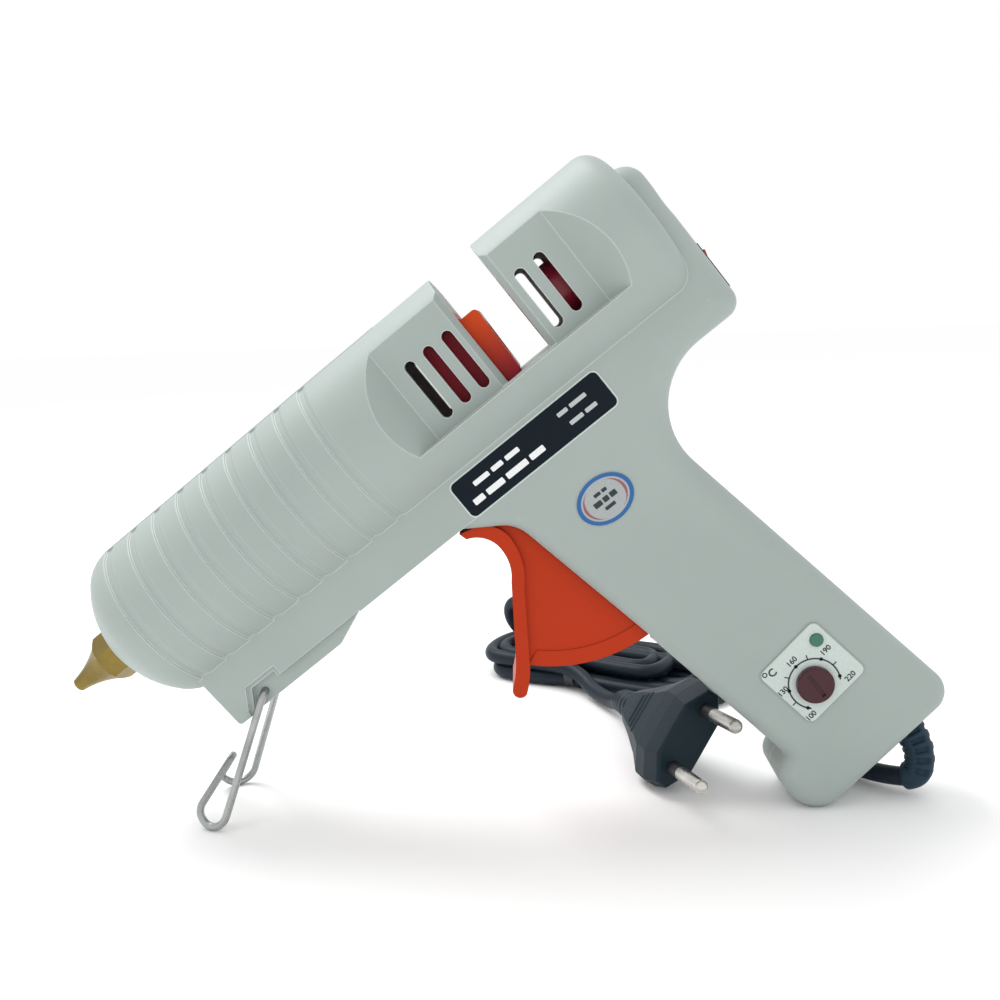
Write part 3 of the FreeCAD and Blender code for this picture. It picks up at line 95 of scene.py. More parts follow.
# ---------------------------------------------------------------------------------------------
# Materials
# ---------------------------------------------------------------------------------------------
class Look:
    """One procedural material around a Principled shader."""

    def __init__(self, name, colour, roughness, **sockets):
        self.material = bpy.data.materials.new(name)
        self.material.use_nodes = True
        self.tree = self.material.node_tree
        self.shader = self.tree.nodes["Principled BSDF"]
        self.shader.inputs["Base Color"].default_value = (*colour, 1.0)
        self.shader.inputs["Roughness"].default_value = roughness
        for socket, value in sockets.items():
            self.shader.inputs[socket.replace("_", " ")].default_value = value
        self.normal = None
        self.edge_normal = None
        self.painted = None
        self.coordinates = self.tree.nodes.new("ShaderNodeTexCoord").outputs["Object"]

    def node(self, kind, **inputs):
        made = self.tree.nodes.new(kind)
        for socket, value in inputs.items():
            self.give(made.inputs[socket.replace("_", " ")], value)
        return made

    def give(self, socket, value):
        """Links an output to the socket, or sets the socket's own value."""
        if isinstance(value, bpy.types.NodeSocket):
            self.tree.links.new(value, socket)
        else:
            socket.default_value = value

    def noise(self, scale, detail):
        made = self.node("ShaderNodeTexNoise", Vector=self.coordinates, Scale=scale, Detail=detail)
        return made.outputs["Fac"]

    def span(self, value, low, high, to_low, to_high):
        """The value's low..high carried to to_low..to_high and held there."""
        made = self.node("ShaderNodeMapRange", Value=value)
        for socket, number in zip(("From Min", "From Max", "To Min", "To Max"),
                                  (low, high, to_low, to_high)):
            made.inputs[socket].default_value = number
        return made.outputs["Result"]

    def math(self, operation, first, second):
        made = self.node("ShaderNodeMath")
        made.operation = operation
        self.give(made.inputs[0], first)
        self.give(made.inputs[1], second)
        return made.outputs["Value"]

    def dot(self, vector, other):
        made = self.node("ShaderNodeVectorMath", Vector=vector)
        made.operation = "DOT_PRODUCT"
        self.give(made.inputs[1], other)
        return made.outputs["Value"]

    def along(self, axis):
        """How far a point lies along one of the gun's axes, in metres."""
        return self.math("SUBTRACT", self.dot(self.coordinates, axis), GUN_ORIGIN.dot(axis))

    def mix(self, factor, first, second):
        made = self.tree.nodes.new("ShaderNodeMix")
        made.data_type = "RGBA"
        self.give(made.inputs[0], factor)
        for socket, colour in ((made.inputs[6], first), (made.inputs[7], second)):
            self.give(socket, (*colour, 1.0) if isinstance(colour, tuple) else colour)
        return made.outputs[2]

    def paint(self, colour):
        self.painted = colour
        self.give(self.shader.inputs["Base Color"], colour)

    def rough(self, value):
        self.give(self.shader.inputs["Roughness"], value)

    def rounded_edges(self, radius_mm):
        """Soft light on the moulded edges."""
        bevel = self.node("ShaderNodeBevel", Radius=radius_mm * MM)
        bevel.samples = 6
        self.edge_normal = bevel.outputs["Normal"]
        self.normal = self.edge_normal
        self.give(self.shader.inputs["Normal"], self.normal)

    def bump(self, height, strength, depth_mm):
        made = self.node("ShaderNodeBump", Height=height, Strength=strength, Distance=depth_mm * MM)
        if self.normal is not None:
            self.give(made.inputs["Normal"], self.normal)
        self.normal = made.outputs["Normal"]
        self.give(self.shader.inputs["Normal"], self.normal)


def shade(colour, factor):
    return tuple(channel * factor for channel in colour)


def moulded(name, colour, roughness, grain_mm, grain_depth, edge_mm=0.35, **sockets):
    """Injection-moulded plastic: spark-eroded grain, faint flow marks, uneven gloss."""
    look = Look(name, colour, roughness, **sockets)
    look.rounded_edges(edge_mm)
    grain = look.noise(1.0 / (grain_mm * MM), 3.0)
    flow = look.noise(22.0, 3.0)
    look.bump(grain, 0.55, grain_depth)
    patches = look.span(flow, 0.3, 0.7, 0.0, 1.0)
    look.paint(look.mix(patches, shade(colour, 0.955), shade(colour, 1.04)))
    look.rough(look.span(grain, 0.3, 0.7, roughness - 0.07, roughness + 0.07))
    return look


housing = moulded("housing_plastic", (0.350, 0.402, 0.380), 0.50, 0.38, 0.03, 0.5,
                  Specular_IOR_Level=0.35)
orange = moulded("orange_plastic", (0.46, 0.034, 0.005), 0.42, 0.5, 0.02, 0.4,
                 Specular_IOR_Level=0.14)
crimson = moulded("crimson_plastic", (0.46, 0.022, 0.055), 0.32, 0.6, 0.01, 0.3)
black = moulded("black_plastic", (0.016, 0.018, 0.021), 0.45, 0.5, 0.02, 0.25)
jacket = moulded("cord_jacket", (0.008, 0.016, 0.026), 0.45, 0.45, 0.03, 0.3,
                 Specular_IOR_Level=0.22)
rubber = moulded("soft_rubber", (0.013, 0.034, 0.055), 0.55, 0.5, 0.05, 0.3,
                 Specular_IOR_Level=0.22)
plug_plastic = moulded("plug_plastic", (0.006, 0.019, 0.028), 0.48, 0.5, 0.02, 0.5,
                       Specular_IOR_Level=0.22)


# Painted highlight: the moulded edges are lightened towards this colour.
EDGE_HIGHLIGHT_COLOUR = (0.66, 0.72, 0.69)
# How well the rounded and the true normal agree, from an edge to a flat wall.
EDGE_LEVEL, WALL_LEVEL = 0.90, 0.995
# Painted shade with a red reflected tint on the housing's inner walls that show through the vents.
INNER_SHADE_COLOUR = (0.36, 0.050, 0.080)
# The box of painted shade inside the housing: each of the gun's axes with its two ends, and how soft
# each end is.
INNER_SHADE_BOX = ((ACROSS, -12.4, 12.4), (BACK, 114.0, 186.0), (UP, -9.6, 12.6))
INNER_SHADE_BLUR = 0.1


def finish_housing(look):
    """Painted highlight on the moulded edges, and painted shade with a red reflected tint on the inner
    walls that show through the vents.
    """
    level = look.dot(look.edge_normal, look.node("ShaderNodeNewGeometry").outputs["Normal"])
    highlighted_edges = look.mix(look.span(level, EDGE_LEVEL, WALL_LEVEL, 1.0, 0.0), look.painted, EDGE_HIGHLIGHT_COLOUR)
    # Painted shade with a red reflected tint on everything of the housing inside this box.
    inner_shade = 1.0
    for axis, low, high in INNER_SHADE_BOX:
        place = look.along(axis)
        for end, before, after in ((low, 0.0, 1.0), (high, 1.0, 0.0)):
            ends = (end - INNER_SHADE_BLUR) * MM, (end + INNER_SHADE_BLUR) * MM
            inner_shade = look.math("MULTIPLY", inner_shade, look.span(place, *ends, before, after))
    look.paint(look.mix(inner_shade, highlighted_edges, INNER_SHADE_COLOUR))


finish_housing(housing)

# Painted shade on the feed carriage: crimson low down and at its forward end, orange higher up and
# further back.
CARRIAGE_ORANGE = (0.58, 0.060, 0.008)
CARRIAGE_SHADE_CRIMSON = (0.27, 0.009, 0.022)
CRIMSON_BELOW, ORANGE_ABOVE = -10, 7
SHADED_UNTIL_X, LIT_FROM_X = 146.2, 147.0


def carriage_look():
    """Orange, with painted shade that deepens it to crimson low down and forward."""
    look = moulded("carriage_plastic", CARRIAGE_ORANGE, 0.38, 0.5, 0.015, 0.3,
                   Specular_IOR_Level=0.15)
    shaded_low = look.span(look.along(UP), CRIMSON_BELOW * MM, ORANGE_ABOVE * MM, 1.0, 0.0)
    # Painted shade on the forward part, which is seen through the vents.
    inside = look.span(look.along(BACK), SHADED_UNTIL_X * MM, LIT_FROM_X * MM, 1.0, 0.0)
    look.paint(look.mix(look.math("MAXIMUM", shaded_low, inside), CARRIAGE_ORANGE, CARRIAGE_SHADE_CRIMSON))
    return look


carriage = carriage_look()


def metal(name, colour, roughness, scratch_mm, depth):
    look = Look(name, colour, roughness, Metallic=1.0)
    look.rounded_edges(0.15)
    marks = look.noise(1.0 / (scratch_mm * MM), 4.0)
    stains = look.noise(120.0, 3.0)
    look.bump(marks, 0.4, depth)
    look.paint(look.mix(look.span(stains, 0.35, 0.7, 0.0, 1.0), shade(colour, 0.72), colour))
    look.rough(look.span(marks, 0.3, 0.7, roughness - 0.08, roughness + 0.12))
    return look


brass = metal("turned_brass", (0.26, 0.19, 0.055), 0.34, 0.5, 0.01)
steel = metal("drawn_wire", (0.42, 0.44, 0.43), 0.30, 0.4, 0.01)
nickel = metal("nickelled_pin", (0.66, 0.65, 0.61), 0.30, 0.6, 0.004)
aluminium = metal("cast_aluminium", (0.55, 0.55, 0.53), 0.5, 0.7, 0.05)


def flat_print(name, colour, roughness, **sockets):
    """A printed or foil surface: almost even, with the slight mottle of ink."""
    look = Look(name, colour, roughness, **sockets)
    mottle = look.noise(1500.0, 2.0)
    specks = look.span(mottle, 0.3, 0.7, 0.0, 1.0)
    look.paint(look.mix(specks, shade(colour, 0.95), shade(colour, 1.05)))
    look.bump(mottle, 0.2, 0.01)
    return look


label_black = flat_print("label_black", (0.005, 0.010, 0.016), 0.6, Specular_IOR_Level=0.12)
plate_foil = flat_print("plate_foil", (0.55, 0.62, 0.59), 0.45)
# Painted shadow along the control plate's border.
plate_edge_shadow = flat_print("plate_edge_shadow", (0.30, 0.35, 0.33), 0.5)
ink = flat_print("ink", (0.010, 0.022, 0.025), 0.5)
white_print = flat_print("white_print", (0.80, 0.82, 0.82), 0.5)
grey_print = flat_print("grey_print", (0.45, 0.49, 0.50), 0.5)
sticker_blue = flat_print("sticker_blue", (0.006, 0.105, 0.32), 0.35)
sticker_foil = flat_print("sticker_foil", (0.36, 0.39, 0.39), 0.35)
sticker_rose = flat_print("sticker_rose", (0.28, 0.085, 0.10), 0.4)
ceramic = flat_print("heat_board", (0.62, 0.57, 0.45), 0.8)
board_green = flat_print("board_green", (0.02, 0.12, 0.05), 0.4)
silicone = moulded("silicone", (0.30, 0.02, 0.03), 0.5, 0.6, 0.02)
knob_look = moulded("knob_plastic", (0.050, 0.008, 0.015), 0.26, 0.8, 0.01, 0.25,
                    Specular_IOR_Level=0.3, Coat_Weight=0.12)
lamp_look = moulded("lamp_green", (0.008, 0.13, 0.07), 0.2, 0.8, 0.01, 0.25, Coat_Weight=0.5)
rocker_look = moulded("rocker_red", (0.45, 0.008, 0.02), 0.22, 0.8, 0.008, 0.3, Coat_Weight=0.4)

NODE_LOOKS = {
    "right_shell": housing, "left_shell": housing, "nozzle": brass, "nozzle_seal": silicone,
    "melt_chamber": aluminium, "heater_element": ceramic, "chamber_mount_front": ceramic,
    "chamber_mount_rear": ceramic, "inlet_sleeve": silicone, "sleeve_clip": steel,
    "rear_guide_tube": crimson, "feed_carriage": carriage, "stick_grip": steel, "trigger": orange,
    "return_spring": steel, "trigger_pin": steel, "link_pin": steel, "control_plate": plate_foil,
    "temperature_knob": knob_look, "status_led": lamp_look, "potentiometer": black,
    "control_board": board_green, "rating_label": label_black, "oval_sticker": sticker_foil,
    "switch_housing": black, "switch_rocker": rocker_look, "shell_screws": steel,
    "wire_stand": steel, "strain_relief": rubber, "cord_to_gun": jacket, "cord_to_plug": jacket,
    "cord_hank": jacket, "hank_tie": black, "plug_body": jacket, "plug_pins": nickel,
    "pin_sleeves": black, "plug_relief": jacket,
}
for node_name, look in NODE_LOOKS.items():
    for slot in NODES[node_name].material_slots:
        slot.material = look.material


# ---------------------------------------------------------------------------------------------
# Mesh helpers
# ---------------------------------------------------------------------------------------------
def add_mesh(name, mesh, look, smooth=True):
    """Puts a finished mesh in the scene as a piece that rides on the gun's body."""
    piece = bpy.data.objects.new(name, mesh)
    bpy.context.collection.objects.link(piece)
    piece.data.materials.append(look.material)
    for polygon in mesh.polygons:
        polygon.use_smooth = smooth
    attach(piece, "gun_body")
    return piece


def mesh_of(name, points, faces, matrix=None):
    mesh = bpy.data.meshes.new(name)
    mesh.from_pydata([matrix @ Vector(p) if matrix else Vector(p) for p in points], [], faces)
    mesh.validate()
    mesh.update()
    return mesh


def bevelled(piece, width_mm, segments, angle):
    modifier = piece.modifiers.new("rounding", "BEVEL")
    modifier.width = width_mm * MM
    modifier.segments = segments
    modifier.limit_method = "ANGLE"
    modifier.angle_limit = math.radians(angle)
    modifier.harden_normals = False


class Flat:
    """Thin printed shapes on a side face of the gun, gathered into one mesh."""

    def __init__(self, centre, turn, y, thick):
        self.centre = centre
        self.turn = math.radians(turn)
        self.y = y
        self.thick = thick
        self.points = []
        self.faces = []

    def place(self, a, b, y):
        c, s = math.cos(self.turn), math.sin(self.turn)
        return GUN @ Vector((self.centre[0] + a * c - b * s, y, self.centre[1] + a * s + b * c))

    def outline(self, shape):
        """A raised shape from its closed outline of (a, b) points, counter-clockwise."""
        first = len(self.points)
        count = len(shape)
        self.points += [self.place(a, b, self.y) for a, b in shape]
        self.points += [self.place(a, b, self.y - self.thick) for a, b in shape]
        self.faces.append([first + i for i in range(count)][::-1])
        self.faces.append([first + count + i for i in range(count)])
        for i in range(count):
            j = (i + 1) % count
            self.faces.append([first + i, first + j, first + count + j, first + count + i])

    def bar(self, a, b, wide, high, corner):
        self.outline(rounded_rectangle(a, b, wide, high, corner))

    def band(self, inner, outer):
        """A raised ring between two outlines with the same number of points."""
        first = len(self.points)
        count = len(inner)
        for shape, y in ((inner, self.y), (outer, self.y), (outer, self.y - self.thick),
                         (inner, self.y - self.thick)):
            self.points += [self.place(a, b, y) for a, b in shape]
        for i in range(count):
            j = (i + 1) % count
            for k in range(4):
                m = (k + 1) % 4
                self.faces.append([first + k * count + i, first + k * count + j,
                                   first + m * count + j, first + m * count + i])

    def arc_strip(self, radius, width, start, end, steps=48):
        """A raised strip along an arc about (0, 0)."""
        spots = [math.radians(start + (end - start) * k / steps) for k in range(steps + 1)]
        near, far = [[(edge * math.cos(t), edge * math.sin(t)) for t in spots]
                     for edge in (radius - width / 2, radius + width / 2)]
        self.outline(far + near[::-1])

    def finish(self, name, look):
        add_mesh(name, mesh_of(name, self.points, self.faces), look, smooth=False)


def rounded_rectangle(a, b, wide, high, corner, steps=6):
    shape = []
    for sa, sb, begin in ((1, -1, -90), (1, 1, 0), (-1, 1, 90), (-1, -1, 180)):
        for k in range(steps + 1):
            t = math.radians(begin + 90 * k / steps)
            shape.append((a + sa * (wide / 2 - corner) + corner * math.cos(t),
                          b + sb * (high / 2 - corner) + corner * math.sin(t)))
    return shape


def ellipse(long, high, steps=72):
    return [(long * math.cos(2 * math.pi * k / steps), high * math.sin(2 * math.pi * k / steps))
            for k in range(steps)]


def circle(a, b, radius, steps):
    return [(a + x, b + y) for x, y in ellipse(radius, radius, steps)]


# ---------------------------------------------------------------------------------------------
# Temperature scale on the control plate
# ---------------------------------------------------------------------------------------------
PLATE_AT = (163.1, -121.1)
PLATE_TURN = 9.0
PLATE_SIZE = (21.2, 20.2)
PLATE_FACE = -13.3
INK_THICK = 0.03
KNOB_ON_PLATE = (-1.75, -2.5)
SCALE_RADIUS = 6.95
SCALE_START, SCALE_STEP, SCALE_STOPS = 210.0, -60.0, 5
SCALE_WIDTH, SCALE_PAST = 0.42, 8
DOT_RADIUS = 0.52
TICK_LONG, TICK_HALF = 1.3, 0.16
# Each word with its place on the plate and its height.
SCALE_WORDS = (("100", -8.8, -8.2, 1.5), ("130", -9.0, 2.1, 1.5), ("160", -1.5, 6.2, 1.5),
               ("190", 6.8, 1.8, 1.5), ("220", 6.1, -8.1, 1.5), ("C", -7.2, 7.8, 2.1))
DEGREE_AT = (-9.0, 8.9)
DEGREE_RADII = (0.42, 0.72)
CAPITAL_SHARE = 0.7
BOLDER_BY = 0.035
RIM_THICK = 0.14
PLATE_RIM_DEEP = 0.12


def text_outlines(text, height):
    """Points and faces of generic digits lying flat, with the text's middle at the origin."""
    curve = bpy.data.curves.new("digits", "FONT")
    curve.body = text
    curve.size = height / CAPITAL_SHARE
    curve.align_x = "CENTER"
    curve.align_y = "CENTER"
    curve.offset = BOLDER_BY * height
    curve.resolution_u = 4
    holder = bpy.data.objects.new("digits", curve)
    bpy.context.collection.objects.link(holder)
    mesh = bpy.data.meshes.new_from_object(holder)
    points = [(v.co.x, v.co.y) for v in mesh.vertices]
    faces = [list(p.vertices) for p in mesh.polygons]
    bpy.data.objects.remove(holder)
    bpy.data.curves.remove(curve)
    bpy.data.meshes.remove(mesh)
    return points, faces


def scale_about_knob(marks):
    """The arc round the knob, a dot at each stop and a tick between each two."""
    knob_a, knob_b = KNOB_ON_PLATE
    c, s = math.cos(marks.turn), math.sin(marks.turn)
    marks.centre = (PLATE_AT[0] + knob_a * c - knob_b * s, PLATE_AT[1] + knob_a * s + knob_b * c)
    scale_end = SCALE_START + (SCALE_STOPS - 1) * SCALE_STEP
    marks.arc_strip(SCALE_RADIUS, SCALE_WIDTH, SCALE_START + SCALE_PAST, scale_end - SCALE_PAST)
    for k in range(SCALE_STOPS):
        t = math.radians(SCALE_START + k * SCALE_STEP)
        spot = (SCALE_RADIUS * math.cos(t), SCALE_RADIUS * math.sin(t))
        marks.outline(circle(*spot, DOT_RADIUS, 16))
    for k in range(SCALE_STOPS - 1):
        t = math.radians(SCALE_START + (k + 0.5) * SCALE_STEP)
        along = Vector((math.cos(t), math.sin(t)))
        side = Vector((-along.y, along.x)) * TICK_HALF
        near, far = along * SCALE_RADIUS, along * (SCALE_RADIUS + TICK_LONG)
        marks.outline([tuple(near - side), tuple(far - side), tuple(far + side), tuple(near + side)])


def plate_scale():
    marks = Flat(PLATE_AT, PLATE_TURN, PLATE_FACE, INK_THICK)
    scale_about_knob(marks)
    marks.centre = PLATE_AT
    for text, a, b, height in SCALE_WORDS:
        points, faces = text_outlines(text, height)
        first = len(marks.points)
        marks.points += [marks.place(a + x, b + y, PLATE_FACE - INK_THICK) for x, y in points]
        marks.faces += [[first + i for i in face] for face in faces]
    marks.band(*[circle(*DEGREE_AT, radius, 20) for radius in DEGREE_RADII])
    marks.finish("scale_marks", ink)
    # A darker band round the plate: painted shadow of its edge.
    edge = Flat(PLATE_AT, PLATE_TURN, PLATE_FACE + PLATE_RIM_DEEP, RIM_THICK)
    wide, high = PLATE_SIZE
    edge.band(rounded_rectangle(0, 0, wide - 0.5, high - 0.5, 1.85),
              rounded_rectangle(0, 0, wide + 0.1, high + 0.1, 2.1))
    edge.finish("plate_edge_shadow", plate_edge_shadow)


plate_scale()

# ---------------------------------------------------------------------------------------------
# Rating label and oval sticker, with plain marks in place of words
# ---------------------------------------------------------------------------------------------
SIDE_FACE = -13.25
LABEL_AT = (143.7, -26.7)
LABEL_SIZE = (48.2, 10.6)
STICKER_AT = (149.4, -49.5)
STICKER_SIZE = (8.05, 6.35)
# Rows of bars: start from the label's left end, the bars' lengths, and the row's height on it.
BRIGHT_ROWS = ((5.6, (5.0, 3.6, 4.4), 1.75, 1.35), (2.6, (3.4, 5.6, 6.8, 4.6), -2.15, 1.7))
DULL_ROWS = ((33.6, (3.2, 5.2), 1.9, 1.15), (35.0, (4.2, 3.6), -1.7, 1.15))
LABEL_TOP = -13.0


def label_row_marks(name, look, rows, gap, corner):
    marks = Flat(LABEL_AT, 0, SIDE_FACE, INK_THICK)
    for start, lengths, b, high in rows:
        a = start - LABEL_SIZE[0] / 2
        for long in lengths:
            marks.bar(a + long / 2, b, long, high, corner)
            a += long + gap
    marks.finish(name, look)


def label_marks():
    label_row_marks("label_bars", white_print, BRIGHT_ROWS, 1.0, 0.3)
    label_row_marks("label_small_bars", grey_print, DULL_ROWS, 0.8, 0.25)
    rim = Flat(LABEL_AT, 0, LABEL_TOP, RIM_THICK)
    wide, high = LABEL_SIZE
    rim.band(rounded_rectangle(0, 0, wide - 0.02, high - 0.02, 1.6),
             rounded_rectangle(0, 0, wide + 0.9, high + 0.9, 2.0))
    rim.finish("label_rim", plate_foil)


RING_LONG, RING_HIGH = 1.15, 1.0
ARC_IN_LONG, ARC_IN_HIGH = 1.7, 1.5
ARC_HALF_TURN, ARC_STEPS = 62, 24
ARC_SWELL, ARC_THIN, ARC_SHARPNESS = 0.62, 0.12, 1.35
# Rows of bars on the sticker: height on it, the bar's own height, and the bars' lengths.
STICKER_ROWS = ((2.2, 0.95, (2.0, 1.5)), (0.0, 1.5, (2.4, 1.7, 2.0)), (-2.2, 0.95, (3.2,)))
STICKER_GAP = 0.5


def sticker_arc(side):
    """A crescent inside the ring, at one end of the oval, counter-clockwise."""
    long, high = STICKER_SIZE[0] - ARC_IN_LONG, STICKER_SIZE[1] - ARC_IN_HIGH
    outer, inner = [], []
    for k in range(ARC_STEPS + 1):
        t = math.radians(-ARC_HALF_TURN + 2 * ARC_HALF_TURN * k / ARC_STEPS)
        swell = ARC_SWELL * math.cos(t * ARC_SHARPNESS) + ARC_THIN
        outer.append((side * long * math.cos(t), high * math.sin(t)))
        inner.append((side * (long - swell) * math.cos(t), high * math.sin(t)))
    shape = outer + inner[::-1]
    return shape if side > 0 else shape[::-1]


def sticker_marks():
    long, high = STICKER_SIZE
    ring = Flat(STICKER_AT, 0, SIDE_FACE, INK_THICK)
    ring.band(ellipse(long - RING_LONG, high - RING_HIGH), ellipse(long, high))
    ring.finish("sticker_ring", sticker_blue)
    arcs = Flat(STICKER_AT, 0, SIDE_FACE, INK_THICK)
    for side in (-1, 1):
        arcs.outline(sticker_arc(side))
    arcs.finish("sticker_arcs", sticker_rose)
    bars = Flat(STICKER_AT, 0, SIDE_FACE, INK_THICK)
    for b, bar_high, lengths in STICKER_ROWS:
        a = -(sum(lengths) + STICKER_GAP * (len(lengths) - 1)) / 2
        for bar_long in lengths:
            bars.bar(a + bar_long / 2, b, bar_long, bar_high, 0.2)
            a += bar_long + STICKER_GAP
    bars.finish("sticker_bars", ink)


label_marks()
sticker_marks()

# ---------------------------------------------------------------------------------------------
# Mains cord: one line from the boot through the hank to the plug
# ---------------------------------------------------------------------------------------------
CORD = 5.4
# The stretches outside the hank, in the frame and in metres.
GUN_SIDE = [(0.1138, -0.0034, 0.0052), (0.10975, -0.0004, 0.0042), (0.1020, 0.0086, 0.0034),
            (0.0938, 0.0226, 0.0028), (0.0869, 0.0420, 0.0028), (0.0862, 0.0610, 0.0029),
            (0.0882, 0.0770, 0.0030)]
PLUG_SIDE = [(0.0272, 0.0880, 0.0066), (0.0308, 0.0800, 0.0038), (0.0352, 0.0700, 0.0036),
             (0.0384, 0.0610, 0.0056), (0.0394, 0.0535, 0.0090)]
HANK_AT = Vector((0.0392, 0.1022, 0.0))
HANK_TURN = math.radians(151.5)
HANK_ALONG = Vector((math.cos(HANK_TURN), math.sin(HANK_TURN), 0.0))
HANK_SIDE = Vector((-HANK_ALONG.y, HANK_ALONG.x, 0.0))
TIE_AT = 9.0
# At the tie the strands are drawn in to this share of their spread, and lie a little higher.
TIE_PULL, TIE_LIFT = 0.87, 0.5
# Each turn of the hank: half spread, height, left reach and right reach of its two strands.
TURNS = [(16.2, 2.75, 44.0, 46.0), (10.8, 2.75, 41.0, 40.5), (5.4, 2.75, 37.0, 34.5),
         (5.4, 8.15, 38.0, 16.0), (10.8, 8.15, 43.5, 22.0), (16.2, 8.15, 47.5, 0.0)]
# The turn whose left fold stands up as a loop.
STANDING_TURN = 3
HANK_ENTRY = [(-56.0, -8.5, 2.9), (-51.0, -15.4, 2.8), (-41.0, -17.6, 2.75)]
STANDING_LOOP = [(31.0, -4.6, 9.4), (38.5, -3.4, 12.4), (43.5, -2.0, 18.0), (43.0, 0.0, 24.6),
                 (37.0, 1.6, 27.4), (30.0, 3.0, 24.4), (26.5, 4.4, 17.0), (20.0, 5.3, 10.6)]


# A fold's points: distance from its end along the hank, and share of the way across.
FOLD_START = 11.0
LEFT_FOLD = ((-9.0, 1.0), (-3.2, 0.86), (0.0, 0.36), (0.0, -0.36), (-3.2, -0.86), (-9.0, -1.0))
RIGHT_FOLD = ((9.0, 0.0), (3.2, 0.12), (0.0, 0.36), (0.0, 0.64), (3.2, 0.88), (9.0, 1.0))


def hank(a, b, z):
    """A point of the hank's own axes: along it to the left, towards the front, and up."""
    return tuple(HANK_AT + (HANK_ALONG * a + HANK_SIDE * b) * MM + Vector((0, 0, z * MM)))


def strand(half, height, spots, drift, reach):
    """Points of one straight run as far as its right fold, pulled in where the tie holds it."""
    line = []
    for a in spots:
        if a == TIE_AT:
            line.append((a, half * TIE_PULL, height + TIE_LIFT))
        elif a > FOLD_START - reach:
            line.append((a, half + drift, height))
    return line


def hank_line():
    """Control points of the folded turns: back strand, left fold, front strand, right fold."""
    chance = random.Random(11)
    line = list(HANK_ENTRY)
    reach = TURNS[0][3]
    for index, (half, height, left, right) in enumerate(TURNS):
        drift = chance.uniform(-0.35, 0.35)
        lift = chance.uniform(0.0, 0.5)
        last = index == len(TURNS) - 1
        line += strand(-half, height, (-24.0, -8.0, TIE_AT, 24.0), drift, reach)
        if index == STANDING_TURN:
            line += STANDING_LOOP + strand(half, height, (TIE_AT, -8.0, -24.0), drift, right)
        else:
            line += [(left + a, -half * share, height + lift) for a, share in LEFT_FOLD]
            spots = (24.0, 12.0) if last else (24.0, TIE_AT, -8.0, -24.0)
            line += strand(half, height, spots, drift, right)
        if not last:
            to_half, to_height = TURNS[index + 1][:2]
            for a, share in RIGHT_FOLD:
                spread = (half + (to_half - half) * share) * math.cos(math.pi * share)
                line.append((a - right, spread, height + (to_height - height) * share))
        reach = right
    return [hank(*point) for point in line]


def nurbs(name, points, bevel_mm):
    curve = bpy.data.curves.new(name, "CURVE")
    curve.dimensions = "3D"
    spline = curve.splines.new("NURBS")
    spline.points.add(len(points) - 1)
    for spot, point in zip(spline.points, points):
        spot.co = (*point, 1.0)
    spline.order_u = 3
    spline.use_endpoint_u = True
    curve.resolution_u = 10
    curve.bevel_depth = bevel_mm * MM
    curve.bevel_resolution = 7
    curve.use_fill_caps = True
    made = bpy.data.objects.new(name, curve)
    bpy.context.collection.objects.link(made)
    return made


def traced(points):
    """The smooth line of a route, read from its bare spline, in the frame."""
    holder = nurbs("route", points, 0.0)
    holder.data.use_fill_caps = False
    mesh = bpy.data.meshes.new_from_object(holder)
    line = [v.co.copy() for v in mesh.vertices]
    curve = holder.data
    bpy.data.objects.remove(holder)
    bpy.data.curves.remove(curve)
    bpy.data.meshes.remove(mesh)
    return line


def evenly(line, gap_mm):
    """The same line with points an even gap apart."""
    lengths = [(b - a).length for a, b in zip(line, line[1:])]
    count = max(2, round(sum(lengths) / (gap_mm * MM)))
    made, index, passed = [], 0, 0.0
    for k in range(count + 1):
        want = sum(lengths) * k / count
        while index < len(lengths) - 1 and passed + lengths[index] < want:
            passed += lengths[index]
            index += 1
        share = min(1.0, (want - passed) / lengths[index])
        made.append(line[index].lerp(line[index + 1], share))
    return made


def swept(name, line, radius, look, around):
    """A closed skin along a line; radius(s, angle) is in mm, s runs from the start in mm."""
    side = Vector((0.0, -1.0, 0.0))
    points, faces, run = [], [], 0.0
    for k, spot in enumerate(line):
        heading = (line[min(k + 1, len(line) - 1)] - line[max(k - 1, 0)]).normalized()
        side = (side - heading * side.dot(heading)).normalized()
        other = heading.cross(side)
        if k:
            run += (spot - line[k - 1]).length / MM
        for i in range(around):
            t = 2 * math.pi * i / around
            points.append(spot + (side * math.cos(t) + other * math.sin(t)) * radius(run, t) * MM)
    for k in range(len(line) - 1):
        for i in range(around):
            j = (i + 1) % around
            faces.append([k * around + i, k * around + j, (k + 1) * around + j, (k + 1) * around + i])
    faces.append(list(range(around))[::-1])
    faces.append([(len(line) - 1) * around + i for i in range(around)])
    return add_mesh(name, mesh_of(name, points, faces), look)


def smooth_step(value, low, high):
    share = min(1.0, max(0.0, (value - low) / (high - low)))
    return share * share * (3 - 2 * share)


TIP_SHARE = 0.94


def rounded_end(run, length, reach):
    """Narrows the last stretch of a swept piece to a rounded end."""
    past = max(0.0, run - (length - reach)) / reach
    return math.sqrt(max(0.0, 1.0 - TIP_SHARE * past * past))


BOOT_POINTS = [(0.1080, 0.0, 0.0290), (0.1104, -0.0010, 0.0250), (0.1131, -0.0022, 0.0200),
               (0.1160, -0.0034, 0.0145), (0.1164, -0.0042, 0.0090), (0.1148, -0.0038, 0.0056),
               (0.1120, -0.0020, 0.0048)]
BOOT_GAP, BOOT_RADIUS, BOOT_TAPER, BOOT_END = 0.2, 4.75, 0.95, 1.6
NOTCH_PITCH, NOTCH_DEPTH, NOTCH_START, NOTCH_END = 2.85, 1.0, 10.5, 25.0
NOTCH_FADE = 0.5
# A notch's half width as an angle, from its full depth to none.
NOTCH_FULL, NOTCH_NONE = 0.42, 0.56


